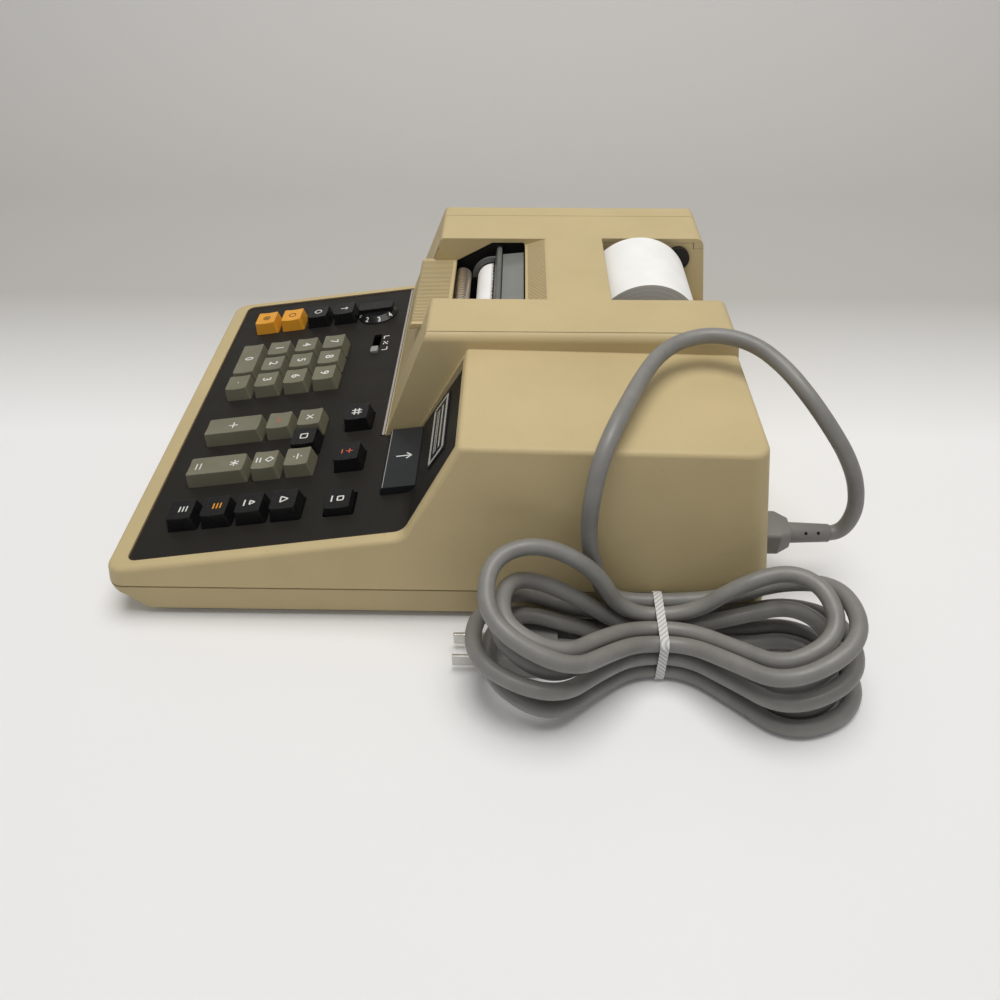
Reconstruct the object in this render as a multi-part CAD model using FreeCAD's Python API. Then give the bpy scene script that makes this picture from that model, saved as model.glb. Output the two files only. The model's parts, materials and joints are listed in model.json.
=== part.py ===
import FreeCAD, Part
import math
import os

# A desk printing calculator with its mains lead, in millimetres.
# The keyboard faces -Y, the rear +Y, the right side +X, and the machine stands on the plane z = 0.

# Whole case
case_width = 260.0
case_depth = 316.0
half_width = case_width / 2
half_depth = case_depth / 2
corner_radius = 9.0
foot_height = 4.4
foot_radius = 9.0
parting_height = 21.0
side_lean = 8.0
rear_lean = 8.3
wall = 2.6
floor_thickness = 2.6
tray_draft = 1.5
nose_rise = 10.6
nose_setback = 17.0
nose_knee = 8.0

# Keyboard deck, a sloping plane given by one point of the panel face
slope = 8.3
panel_origin_y = -half_depth + 84.6
panel_origin_z = 40.67
panel_front = -74.6
panel_back = 39.4
panel_thickness = 2.0
panel_sunk = 0.7
panel_gap = 0.3
panel_corner = 5.0
side_rim = 6.0
front_rim = 9.4
ledge = 3.0
ledge_depth = 1.6

# Right shoulder and the fascia in front of it
fascia_angle = 58.2
fascia_foot_y = panel_origin_y + 60.0
fascia_top_z = 93.0
fascia_bend = 8.0
riser_angle = 60.7
riser_foot_y = fascia_foot_y - 0.6
shoulder_front_z = 97.9
shoulder_rear_z = 95.4
shoulder_rounding = 2.5
riser_bend = 9.0
plate_x = half_width - 58.5
plate_width = 47.0
plate_height = 16.0
plate_up = 27.0
plate_thickness = 0.8

# Printer hump
hump_wall_foot = half_width - 87.0
hump_wall_lean = 4.0
hump_foot_y = panel_origin_y + 41.8
hump_front_angle = 67.3
hump_top = 105.8
hump_rounding = 5.0
hump_nose = 2.5

# Printer cover
cover_left = -half_width + 27.6
cover_right = hump_wall_foot - 7.4
cover_gap = 0.35
cover_seam_z = hump_top - 6.3
cover_lift = 0.2
cover_ledge = 3.0
tab_top = hump_top - 13.8
tab_front = hump_foot_y + 12.3
tab_lip = 3.0
window_front = hump_foot_y + 33.2
window_rear = hump_foot_y + 73.4
window_rear_z = hump_top - 3.9
ramp_top_y = hump_foot_y + 86.1
rib_pitch = 1.6
rib_depth = 0.4
rib_width = 0.7
trough_wall = 2.0
well_room = 3.0
well_wall = 2.0
well_lip = hump_top - 41.0

# Paper roll
roll_radius = 29.0
roll_width = 58.0
roll_x = -36.6
roll_y = half_depth - 49.8
roll_z = hump_top - 25.9
core_radius = 6.0
spindle_radius = 5.95
well_front = roll_y - 21.7
well_left = roll_x - roll_width / 2 - 5.4
trough_left = roll_x - roll_width / 2 - 4.4
trough_right = roll_x + roll_width / 2 + 10.6
boss_y = half_depth - 26.4
boss_z = hump_top - 11.4
boss_radius = 7.0
boss_height = 3.0

# Printer
frame_left = trough_left - 6.0
frame_right = trough_right + 5.0
frame_plate = 1.6
frame_base_z = 26.0
frame_front = window_front - 6.6
frame_rear = window_rear + 6.2
frame_top = hump_top - 5.0
frame_foot = 4.5
frame_post = 4.0
drum_radius = 4.8
drum_y = window_front + 3.9
drum_z = hump_top - 21.6
drum_left = trough_left + 2.0
drum_right = trough_right - 3.0
drum_groove = 0.6
drum_pitch = 2.0
platen_radius = 8.8
platen_y = drum_y + 17.9
platen_z = drum_z - 1.2
paper_thickness = 0.3
axle_radius = 2.0
axle_fit = 0.06
gear_module = 1.0
drum_teeth = 24
pinion_teeth = 12
gear_width = 4.0
gear_stand_off = 0.6
pinion_angle = -50.0
motor_radius = 11.0
motor_length = 42.0
motor_shaft = 1.6
guide_front = window_rear - 12.8
guide_rear = window_rear - 0.7
guide_z = hump_top - 9.2
guide_thickness = 1.6
guide_overhang = 2.4
tear_y = platen_y + 1.0
tear_width = 4.2
tear_low = platen_z + 10.6
tear_high = platen_z + 17.2
tear_cheek = 2.0
tear_cheek_gap = 0.8
tear_cheek_reach = 3.0
motor_bore = 10.0
tie_rods = [(frame_rear - 8.0, 60.0), (frame_front + 7.0, 40.0)]
tab_plate = 2.2
cheek_rise_y = window_rear - 17.6
cheek_step_z = hump_top - 1.8

# Keys
key_pitch = 17.5
key_rise = 7.35
key_top_x = 13.8
key_top_s = 12.6
key_flare = 1.15
latch_drop = 3.0
key_skirt = 4.4
key_gap = 0.3
key_corner = 1.2
key_dish = 40.0
key_dish_depth = 0.45
stem_size = 4.0
stem_fit = 0.15
stem_corner = 0.4
stem_low = -13.4
switch_size = 13.0
switch_height = 8.0
board_depth = 17.0
board_thickness = 1.6
board_left = -half_width + 15.0
board_right = half_width - 15.0
board_front = -72.0
board_back = 63.0
post_radius = 2.6
post_places = [(-half_width + 19.0, -64.0), (-70.0, -64.0), (6.0, -64.0), (half_width - 50.0, -30.0),
               (half_width - 18.5, -64.0), (-half_width + 52.0, 30.0), (0.0, 30.0), (half_width - 50.0, 34.0),
               (half_width - 20.0, 50.0)]
column = {"A": -half_width + 38.0, "B": -51.06, "C": -33.56, "D": -16.06, "E": half_width - 102.1,
          "K": half_width - 84.8, "G": half_width - 67.4, "H": half_width - 34.0}

# Dial, slide switch and paper feed key
dial_x = column["A"]
dial_s = 21.0
dial_radius = 13.0
dial_taper = 3.5
dial_clear = 0.4
dial_height = 3.5
grip_length = 22.0
grip_width = 9.0
grip_height = 2.8
shaft_radius = 3.0
shaft_reach = 14.0
dial_switch_size = 18.0
slot_left = -half_width + 65.0
slot_length = 22.0
slot_s = 24.5
slot_width = 5.0
knob_length = 6.0
knob_height = 1.4
feed_left = hump_wall_foot + 1.6
feed_right = half_width - 38.0
feed_front = 46.0
feed_back = 64.0
feed_rise = 4.2
feed_skirt = 3.4
feed_bevel = 1.6
feed_stem_x = half_width - 55.0

# Mains inlet and lead
cord_diameter = 7.5
inlet_x = half_width - 30.0
inlet_z = 33.0
connector_width = 19.0
connector_height = 13.0
connector_face_y = half_depth - 0.6
connector_rear_y = half_depth + 12.4
sleeve_end_y = half_depth + 32.0
sleeve_near = 10.4
sleeve_far = 8.8
inlet_wall = 2.0
inlet_front = half_depth - 17.0
inlet_rear = half_depth - 3.0
nose_length = 12.0
fit = 0.1
sleeve_bore = 7.5
lead_straight = 14.0
free_route = [FreeCAD.Vector(half_width + dx, half_depth + dy, z) for dx, dy, z in (
    (-30, 38.2, 33), (-30, 41.8, 47), (-31, 38.4, 63), (-33.5, 31.5, 77), (-37, 22, 90), (-46, 12, 101),
    (-60, 2.5, 108), (-75, -9, 111.5), (-82.5, -25, 112), (-79.5, -41.5, 111), (-68, -54.5, 109.5),
    (-50, -64, 108.5), (-30, -72, 109), (-12, -79.5, 108), (0, -85.5, 99), (5, -88, 85), (5, -88.5, 69),
    (4.5, -87, 54), (5.5, -83.5, 41))]

# Hank on the table, tied at its waist
hank_x = half_width + 19.0
hank_y = half_depth - 54.0
hank_base = 4.6
hank_rows = 3
row_pitch = 8.8
hank_turns = 5.5
hank_climbs = (1.75, 3.75)
hank_shifts = ((0.75, 1), (2.75, -1), (4.625, 1))
waist_half = 12.75
waist_step = 8.5
fold_radius = 28.0
fold_step = 8.6
fold_centre = 50.0
fold_reach = 4.0
fold_shift = 14.7
fold_lean = 1.2
shoulder_near = 42.0
shoulder_far = 10.0
near_share = 0.4
far_share = 0.25
lift_left = 15.2
fan_left = 11.0
fan_right = 12.0
hank_lead = 9.0
tie_gap = 0.3
tie_thickness = 0.5
tie_width = 4.0

# Plug
plug_width = 23.0
plug_height = 13.0
plug_length = 32.0
relief_length = 18.0
relief_near = 11.0
relief_far = 9.0
blade_spacing = 12.7
blade_thickness = 1.5
blade_height = 6.3
blade_length = 16.5
plug_entry = FreeCAD.Vector(hank_x + waist_half - waist_step, hank_y - 28.0, plug_height / 2)

# Fasteners, boards and transformer
screw_places = [(-half_width + 10.2, -half_depth + 40.0), (half_width - 10.2, -half_depth + 40.0),
                (-half_width + 17.0, half_depth - 15.0), (half_width - 17.0, half_depth - 22.0)]
screw_pad = 2.4
pad_radius = 5.2
screw_head = 3.4
screw_sink = 2.5
screw_radius = 1.5
screw_length = 16.0
boss_outer = 3.8
foot_places = [(sx * (half_width - 26.0), y) for sx in (-1, 1) for y in (-half_depth + 36.0, half_depth - 26.0)]
seam_depth = 0.6
seam_height = 0.8
main_left = -half_width + 26.0
main_right = half_width - 84.0
main_front = half_depth - 102.0
main_rear = half_depth - 10.0
main_edge = 6.0
main_post = 3.0
main_board_z = 11.0
chip_count = 5
transformer_x = half_width - 46.0
transformer_y = half_depth - 66.0
transformer_width = 44.0
transformer_length = 48.0
transformer_height = 38.0


V = FreeCAD.Vector
side_tan = math.tan(math.radians(side_lean))
rear_tan = math.tan(math.radians(rear_lean))
slope_tan = math.tan(math.radians(slope))
deck = FreeCAD.Placement(V(0, panel_origin_y, panel_origin_z), FreeCAD.Rotation(V(1, 0, 0), slope))
far = 400.0
above_all = hump_top + 14.2


# Basic shapes

def in_space(plane, a, b, level):
    if plane == "yz":
        return V(level, a, b)
    if plane == "xz":
        return V(a, level, b)
    return V(a, b, level)


def outline(points, plane, level):
    """A closed wire through corners (a, b) or (a, b, radius), rounded where a radius is given."""
    count = len(points)
    corners = [in_space(plane, p[0], p[1], level) for p in points]
    radii = [p[2] if len(p) > 2 else 0.0 for p in points]
    starts = []
    ends = []
    middles = []
    for i in range(count):
        here = corners[i]
        back = (corners[i - 1] - here).normalize()
        ahead = (corners[(i + 1) % count] - here).normalize()
        if radii[i] <= 0:
            starts.append(here)
            ends.append(here)
            middles.append(None)
            continue
        half = back.getAngle(ahead) / 2
        reach = radii[i] / math.tan(half)
        towards = (back + ahead).normalize()
        starts.append(here + back * reach)
        ends.append(here + ahead * reach)
        middles.append(here + towards * (radii[i] / math.sin(half) - radii[i]))
    edges = []
    for i in range(count):
        if middles[i] is not None:
            edges.append(Part.Arc(starts[i], middles[i], ends[i]).toShape())
        after = starts[(i + 1) % count]
        if (after - ends[i]).Length > 1e-6:
            edges.append(Part.LineSegment(ends[i], after).toShape())
    return Part.Wire(edges)


def prism(points, plane, start, end):
    along = in_space(plane, 0, 0, end - start)
    return Part.Face(outline(points, plane, start)).extrude(along)


def block(x0, x1, y0, y1, z0, z1):
    return Part.makeBox(x1 - x0, y1 - y0, z1 - z0, V(x0, y0, z0))


def rod(radius, start, end):
    return Part.makeCylinder(radius, (end - start).Length, start, end - start)


def on_deck(shape):
    """Carry a shape from the deck's own frame (x, s up the slope, h off the panel) into the machine."""
    placed = shape.copy()
    placed.Placement = deck.multiply(placed.Placement)
    return placed


def deck_z(y, above=0.0):
    return panel_origin_z + (y - panel_origin_y) * slope_tan + above / math.cos(math.radians(slope))


def fuse(shapes):
    whole = shapes[0]
    if len(shapes) > 1:
        whole = whole.multiFuse(shapes[1:])
    return whole.removeSplitter()


def save(name, shape):
    os.makedirs("parts", exist_ok=True)
    shape.exportStep("parts/" + name + ".step")


# Case masses, each with an inset so that the cavity follows the outside

def rim_outline(height, inset, nose_extra, radius):
    up = height - parting_height
    x = half_width - up * side_tan - inset
    front = -half_depth + up * side_tan + inset + nose_extra
    rear = half_depth - up * rear_tan - inset
    return [(-x, front, radius), (x, front, radius), (x, rear, radius), (-x, rear, radius)]


def leaning_block(inset, low, high, nose_extra=0.0, radius=None):
    """The case's leaning walls as a solid, brought in by an inset."""
    if radius is None:
        radius = max(corner_radius - inset, 1.0)
    bottom = outline(rim_outline(low, inset, nose_extra, radius), "xy", low)
    top = outline(rim_outline(high, inset, nose_extra, radius), "xy", high)
    return Part.makeLoft([bottom, top], True, True)


def riser_y(z):
    foot = deck_z(riser_foot_y)
    return riser_foot_y + (z - foot) / math.tan(math.radians(riser_angle))


def hump_front_y(z):
    foot = deck_z(hump_foot_y)
    return hump_foot_y + (z - foot) / math.tan(math.radians(hump_front_angle))


def hump_wall_x(z):
    foot = deck_z(hump_foot_y)
    return hump_wall_foot - (z - foot) * math.tan(math.radians(hump_wall_lean))


def rear_y(z, inset=0.0):
    return half_depth - (z - parting_height) * rear_tan - inset


def side_x(z, inset=0.0):
    return half_width - (z - parting_height) * side_tan - inset


def right_profile(inset, low):
    """Side view of the deck and the shoulder behind it."""
    lid = shoulder_front_z - inset
    lid_rear = shoulder_rear_z - inset
    shift = inset / math.sin(math.radians(riser_angle))
    foot = riser_foot_y + shift
    round_top = max(shoulder_rounding - inset, 0.5)
    return [(-far / 2, low), (rear_y(low, inset), low), (rear_y(lid_rear, inset), lid_rear, round_top),
            (riser_y(lid) + shift, lid, round_top), (foot, deck_z(foot, panel_sunk - inset), riser_bend),
            (-far / 2, deck_z(-far / 2, panel_sunk - inset))]


def hump_profile(inset, low):
    lid = hump_top - inset
    shift = inset / math.sin(math.radians(hump_front_angle))
    round_top = max(hump_rounding - inset, 0.5)
    return [(hump_front_y(low) + shift, low), (rear_y(low, inset), low), (rear_y(lid, inset), lid, round_top),
            (hump_front_y(lid) + shift, lid, hump_nose)]


def hump_section(inset, low):
    """Front view of the hump, between the leaning left wall of the case and its own near wall."""
    lid = hump_top - inset
    round_top = max(hump_rounding - inset, 0.5)
    return [(-side_x(low, inset), low), (hump_wall_x(low) - inset, low),
            (hump_wall_x(lid) - inset, lid, round_top), (-side_x(lid, inset), lid, round_top)]


def edges_where(shape, test):
    return [e for e in shape.Edges if test(e)]


def runs_back(edge, least, level):
    """True for a long edge that runs front to back above a level."""
    ends = edge.Vertexes
    if len(ends) < 2:
        return False
    way = ends[1].Point - ends[0].Point
    if way.Length < least:
        return False
    return abs(way.normalize().y) > 0.95 and min(v.Z for v in ends) > level


def right_mass(inset, low):
    """The deck and the shoulder; only the outside gets its long edges rounded."""
    mass = leaning_block(inset, low, above_all).common(prism(right_profile(inset, low), "yz", -far / 2, far / 2))
    if inset > 0:
        return mass
    longways = edges_where(mass, lambda e: runs_back(e, 60.0, shoulder_rear_z - 4))
    return mass.makeFillet(shoulder_rounding, longways)


def hump_mass(inset, low):
    mass = leaning_block(inset, low, above_all)
    mass = mass.common(prism(hump_profile(inset, low), "yz", -far / 2, far / 2))
    return mass.common(prism(hump_section(inset, low), "xz", -far / 2, far / 2))


def case_mass(inset, low):
    return fuse([hump_mass(inset, deck_z(hump_foot_y) - 8), right_mass(inset, low)])


def bend_corner(h):
    """The corner between the deck and the fascia, for faces lying h above the panel's face."""
    rise = math.radians(slope)
    lean = math.radians(fascia_angle)
    foot_z = deck_z(fascia_foot_y)
    on_one = (fascia_foot_y - h * math.sin(rise), foot_z + h * math.cos(rise))
    on_two = (fascia_foot_y - h * math.sin(lean), foot_z + h * math.cos(lean))
    gap_y = on_two[0] - on_one[0]
    gap_z = on_two[1] - on_one[1]
    along = (gap_y * math.sin(lean) - gap_z * math.cos(lean)) / math.sin(lean - rise)
    return on_one[0] + along * math.cos(rise), on_one[1] + along * math.sin(rise)


def deck_point(s, h):
    rise = math.radians(slope)
    y = panel_origin_y + s * math.cos(rise) - h * math.sin(rise)
    return y, panel_origin_z + s * math.sin(rise) + h * math.cos(rise)


def fascia_point(up, h):
    lean = math.radians(fascia_angle)
    y = fascia_foot_y + up * math.cos(lean) - h * math.sin(lean)
    return y, deck_z(fascia_foot_y) + up * math.sin(lean) + h * math.cos(lean)


fascia_length = (fascia_top_z - deck_z(fascia_foot_y)) / math.sin(math.radians(fascia_angle))


def bent_strip(low, high, grow, x0, x1):
    """The panel's bent section between two heights, its ends longer by grow, across x0 to x1."""
    corner_low = bend_corner(low)
    corner_high = bend_corner(high)
    section = [deck_point(panel_front - grow, low),
               corner_low + (fascia_bend - low,),
               fascia_point(fascia_length + grow, low),
               fascia_point(fascia_length + grow, high)]
    if high < fascia_bend - 0.5:
        section.append(corner_high + (fascia_bend - high,))
    else:
        section.append(corner_high)
    section.append(deck_point(panel_front - grow, high))
    return prism(section, "yz", x0, x1)


def behind_panel(setback, left_shift, reach):
    """The region left of the fascia and behind the panel's back edge, which the panel leaves free."""
    x1 = hump_wall_foot + left_shift
    y0 = deck_point(panel_back, 0)[0] + setback
    return block(-far / 2, x1, y0, reach, 0.0, far / 2)


def panel_blank(low, high, grow, x_grow):
    """Panel-shaped solid between two heights, larger than the panel by grow along it and x_grow across."""
    strip = bent_strip(low, high, grow, -far / 2, far / 2)
    walls = leaning_block(side_rim - x_grow, 10.0, above_all, front_rim - side_rim, panel_corner)
    return strip.common(walls)


# Keys and controls, in the deck's own frame

def rounded_block(width, length, corner, x, s, low, high):
    a = width / 2
    b = length / 2
    corners = [(x - a, s - b, corner), (x + a, s - b, corner), (x + a, s + b, corner), (x - a, s + b, corner)]
    return prism(corners, "xy", low, high)


def rounded_rectangle(width, length, corner, x, s, level):
    a = width / 2
    b = length / 2
    corners = [(x - a, s - b, corner), (x + a, s - b, corner), (x + a, s + b, corner), (x - a, s + b, corner)]
    return outline(corners, "xy", level)


class Key:
    """A key given by its name, its place on the deck and how many pitches it spans each way."""

    def __init__(self, name, x, s, wide=1, long=1, drop=0.0):
        self.name = name
        self.x = x
        self.s = s
        self.top_x = key_top_x + (wide - 1) * key_pitch
        self.top_s = key_top_s + (long - 1) * key_pitch
        self.drop = drop

    def base(self):
        return self.top_x + 2 * key_flare, self.top_s + 2 * key_flare

    def solid(self):
        width, length = self.base()
        foot = rounded_rectangle(width, length, key_corner, self.x, self.s, 0.0)
        top = rounded_rectangle(self.top_x, self.top_s, key_corner, self.x, self.s, key_rise)
        cap = Part.makeLoft([foot, top], True, True)
        dish_z = key_rise + key_dish - key_dish_depth
        dish = Part.makeCylinder(key_dish, self.top_x + 10, V(self.x - self.top_x / 2 - 5, self.s, dish_z), V(1, 0, 0))
        if self.top_s > key_top_s + 1:
            dish = Part.makeCylinder(key_dish, self.top_s + 10, V(self.x, self.s - self.top_s / 2 - 5, dish_z),
                                     V(0, 1, 0))
        cap = cap.cut(dish)
        skirt = rounded_block(width, length, key_corner, self.x, self.s, -key_skirt, 0.0)
        stem = rounded_block(stem_size, stem_size, stem_corner, self.x, self.s, stem_low, -key_skirt)
        key = fuse([cap, skirt, stem])
        key.translate(V(0, 0, -self.drop))
        return on_deck(key)

    def hole(self):
        width, length = self.base()
        return rounded_block(width + 2 * key_gap, length + 2 * key_gap, key_corner, self.x, self.s, -20.0, 20.0)

    def switch(self):
        return switch_body(self.x, self.s)


def switch_body(x, s):
    """A sealed key switch standing on the keyboard board, with a square bore for the key's stem."""
    low = -board_depth
    body = rounded_block(switch_size, switch_size, 1.0, x, s, low, low + switch_height)
    bore = stem_size + 2 * stem_fit
    return body.cut(rounded_block(bore, bore, stem_corner, x, s, low - 1, low + switch_height + 1))


def all_keys():
    p = key_pitch
    a = column["A"]
    b = column["B"]
    c = column["C"]
    d = column["D"]
    e = column["E"]
    g = column["G"]
    h = column["H"]
    rows = [Key("key_arrow", a, 0), Key("key_sign_entry", a, -p), Key("key_clear", a, -2 * p),
            Key("key_clear_entry", a, -3 * p)]
    for i, x in enumerate((b, c, d)):
        rows.append(Key("key_%d" % (7 + i), x, 0))
        rows.append(Key("key_%d" % (4 + i), x, -p))
        rows.append(Key("key_%d" % (1 + i), x, -2 * p))
    rows.append(Key("key_0", (b + c) / 2, -3 * p, wide=2))
    rows.append(Key("key_point", d, -3 * p))
    rows.append(Key("key_multiply", e, 0))
    rows.append(Key("key_minus", e, -p))
    rows.append(Key("key_plus", e, -2.5 * p, long=2))
    rows.append(Key("key_hash", e, 1.5 * p))
    rows.append(Key("key_constant", column["K"], 0))
    rows.append(Key("key_divide", g, 0))
    rows.append(Key("key_subtotal", g, -p))
    rows.append(Key("key_total", g, -2.5 * p, long=2))
    rows.append(Key("key_sign_change", g, 1.5 * p))
    rows.append(Key("key_memory_total", h, 0))
    rows.append(Key("key_memory_subtotal", h, -p))
    rows.append(Key("key_memory_minus", h, -2 * p))
    rows.append(Key("key_memory_plus", h, -3 * p))
    rows.append(Key("key_auto_memory", h, 1.5 * p, drop=latch_drop))
    return rows


def feed_section(grow):
    """Side view of the paper feed key, in the deck's frame."""
    front = feed_front - grow
    back = feed_back + grow
    low = -feed_skirt
    return [(front, low), (back, low), (back, feed_rise), (front + feed_bevel, feed_rise, 0.4),
            (front, feed_rise - feed_bevel, 0.4)]


def feed_key():
    body = prism(feed_section(0.0), "yz", feed_left, feed_right)
    stem_s = (feed_front + feed_back) / 2
    stem = rounded_block(stem_size, stem_size, stem_corner, feed_stem_x, stem_s, stem_low, -feed_skirt)
    return on_deck(fuse([body, stem]))


def feed_opening():
    x0 = hump_wall_foot - 1
    x1 = feed_right + key_gap
    room = prism([(feed_front - key_gap, -20.0), (feed_back + key_gap, -20.0), (feed_back + key_gap, feed_rise + 8),
                  (feed_front - key_gap, feed_rise + 8)], "yz", x0, x1)
    return on_deck(room)


def dial():
    low = dial_clear
    disc = Part.makeCone(dial_radius, dial_radius - dial_taper, dial_height - low, V(dial_x, dial_s, low), V(0, 0, 1))
    grip = rounded_block(grip_width, grip_length, 2.0, dial_x, dial_s, dial_height, dial_height + grip_height)
    shaft = Part.makeCylinder(shaft_radius, low + shaft_reach, V(dial_x, dial_s, -shaft_reach), V(0, 0, 1))
    return on_deck(fuse([disc, grip, shaft]))


def dial_switch():
    low = -board_depth
    body = rounded_block(dial_switch_size, dial_switch_size, 1.0, dial_x, dial_s, low, low + switch_height)
    bore = Part.makeCylinder(shaft_radius + fit, far, V(dial_x, dial_s, -far / 2), V(0, 0, 1))
    return body.cut(bore)


def slide_knob():
    x = slot_left + slot_length - knob_length / 2 - key_gap
    width = slot_width - 2 * key_gap
    top = rounded_block(knob_length, width, 0.6, x, slot_s, -panel_thickness - key_gap, knob_height)
    flange = rounded_block(knob_length + 4, width + 3, 0.6, x, slot_s, -panel_thickness - key_gap - 1.5,
                           -panel_thickness - key_gap)
    stem = rounded_block(stem_size / 2, stem_size / 2, 0.3, x, slot_s, stem_low, -panel_thickness - key_gap - 1.5)
    return on_deck(fuse([top, flange, stem]))


def slide_switch():
    middle = slot_left + slot_length / 2
    low = -board_depth
    body = rounded_block(slot_length + 10, slot_width + 6, 1.0, middle, slot_s, low, low + switch_height)
    groove = rounded_block(slot_length, stem_size / 2 + 2 * stem_fit, 0.4, middle, slot_s, low - 1,
                           low + switch_height + 1)
    return body.cut(groove)


# Panel

def panel(keys):
    plate = panel_blank(-panel_thickness, 0.0, 0.0, 0.0)
    plate = plate.cut(behind_panel(0.0, panel_gap, far / 2))
    holes = [on_deck(k.hole()) for k in keys]
    slot = rounded_block(slot_length, slot_width, 0.8, slot_left + slot_length / 2, slot_s, -20.0, 20.0)
    shaft_hole = Part.makeCylinder(shaft_radius + fit, 40, V(dial_x, dial_s, -20), V(0, 0, 1))
    plate = plate.cut([feed_opening(), on_deck(slot), on_deck(shaft_hole)] + holes)
    posts = []
    for x, s in post_places:
        post = Part.makeCylinder(post_radius, board_depth - panel_thickness + 0.5, V(x, s, -board_depth), V(0, 0, 1))
        posts.append(on_deck(post))
    return fuse([plate] + posts)


def keyboard_board():
    return on_deck(rounded_block(board_right - board_left, board_back - board_front, 2.0,
                                 (board_left + board_right) / 2, (board_front + board_back) / 2,
                                 -board_depth - board_thickness, -board_depth))


def name_plate():
    lean = FreeCAD.Rotation(V(1, 0, 0), fascia_angle)
    y, z = fascia_point(plate_up, 0.0)
    plate = rounded_block(plate_width, plate_height, 1.0, 0.0, 0.0, 0.0, plate_thickness)
    plate.Placement = FreeCAD.Placement(V(plate_x, y, z), lean)
    return plate


# Lower case

def tray_mass(inset, low):
    x_low = half_width - tray_draft - inset
    x_high = half_width - inset
    front = -half_depth + inset
    rear = half_depth - inset
    side = prism([(front + nose_setback, low), (rear, low), (rear, parting_height),
                  (front, parting_height), (front + nose_knee, foot_height + nose_rise)], "yz", -far / 2, far / 2)
    across = prism([(-x_low, low), (x_low, low), (x_high, parting_height), (-x_high, parting_height)],
                   "xz", -far / 2, far / 2)
    radius = max(corner_radius - inset, 1.0)
    plan = prism([(-x_high, front, radius), (x_high, front, radius), (x_high, rear, radius),
                  (-x_high, rear, radius)], "xy", 0.0, 60.0)
    return side.common(across).common(plan)


floor_top = foot_height + floor_thickness
screw_seat = floor_top + screw_pad


def lower_case():
    tray = tray_mass(0.0, foot_height).cut(tray_mass(wall, floor_top))
    groove = tray_mass(0.0, foot_height).cut(tray_mass(seam_depth, foot_height))
    tray = tray.cut(groove.common(block(-far, far, -far, far, parting_height - seam_height, parting_height + 1)))
    extras = []
    for x, y in screw_places:
        extras.append(Part.makeCylinder(pad_radius, screw_pad + 1, V(x, y, floor_top - 1)))
    for x, y in frame_posts():
        extras.append(Part.makeCylinder(frame_post, frame_base_z - floor_top + 1, V(x, y, floor_top - 1)))
    for x, y in main_posts():
        extras.append(Part.makeCylinder(main_post, main_board_z - floor_top + 1, V(x, y, floor_top - 1)))
    tray = fuse([tray] + extras)
    holes = []
    for x, y in screw_places:
        holes.append(Part.makeCylinder(screw_head + fit, screw_sink, V(x, y, foot_height)))
        holes.append(Part.makeCylinder(screw_radius + fit, 20, V(x, y, foot_height)))
    return tray.cut(holes)


def frame_posts():
    x0 = frame_left + frame_foot
    x1 = frame_right - frame_foot
    return [(x, y) for x in (x0, x1) for y in (frame_front + frame_foot, frame_rear - frame_foot)]


def main_posts():
    x0 = main_left + main_edge
    x1 = main_right - main_edge
    return [(x, y) for x in (x0, x1) for y in (main_front + main_edge, main_rear - main_edge)]


def case_screws():
    screws = []
    for x, y in screw_places:
        head = Part.makeCylinder(screw_head, screw_sink - 0.3, V(x, y, foot_height + 0.3))
        shank = Part.makeCylinder(screw_radius, screw_length, V(x, y, foot_height + screw_sink - 0.1))
        slot = block(x - screw_head, x + screw_head, y - 0.4, y + 0.4, foot_height, foot_height + 1.0)
        screws.append(fuse([head, shank]).cut(slot))
    return Part.makeCompound(screws)


def rubber_feet():
    feet = []
    for x, y in foot_places:
        foot = Part.makeCone(foot_radius - 0.8, foot_radius, foot_height, V(x, y, 0), V(0, 0, 1))
        feet.append(foot)
    return Part.makeCompound(feet)


# Upper case

def well_inner(grow, x_grow):
    """The space for the paper roll, its floor round about the roll, open at the rear above a lip."""
    x0 = well_left - x_grow
    x1 = trough_right + x_grow
    radius = roll_radius + well_room + grow
    round_floor = rod(radius, V(x0, roll_y, roll_z), V(x1, roll_y, roll_z))
    upright = block(x0, x1, roll_y - radius, roll_y + radius, roll_z, far)
    behind = block(x0, x1, roll_y, far, well_lip - grow, far)
    return fuse([round_floor, upright, behind])


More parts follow.
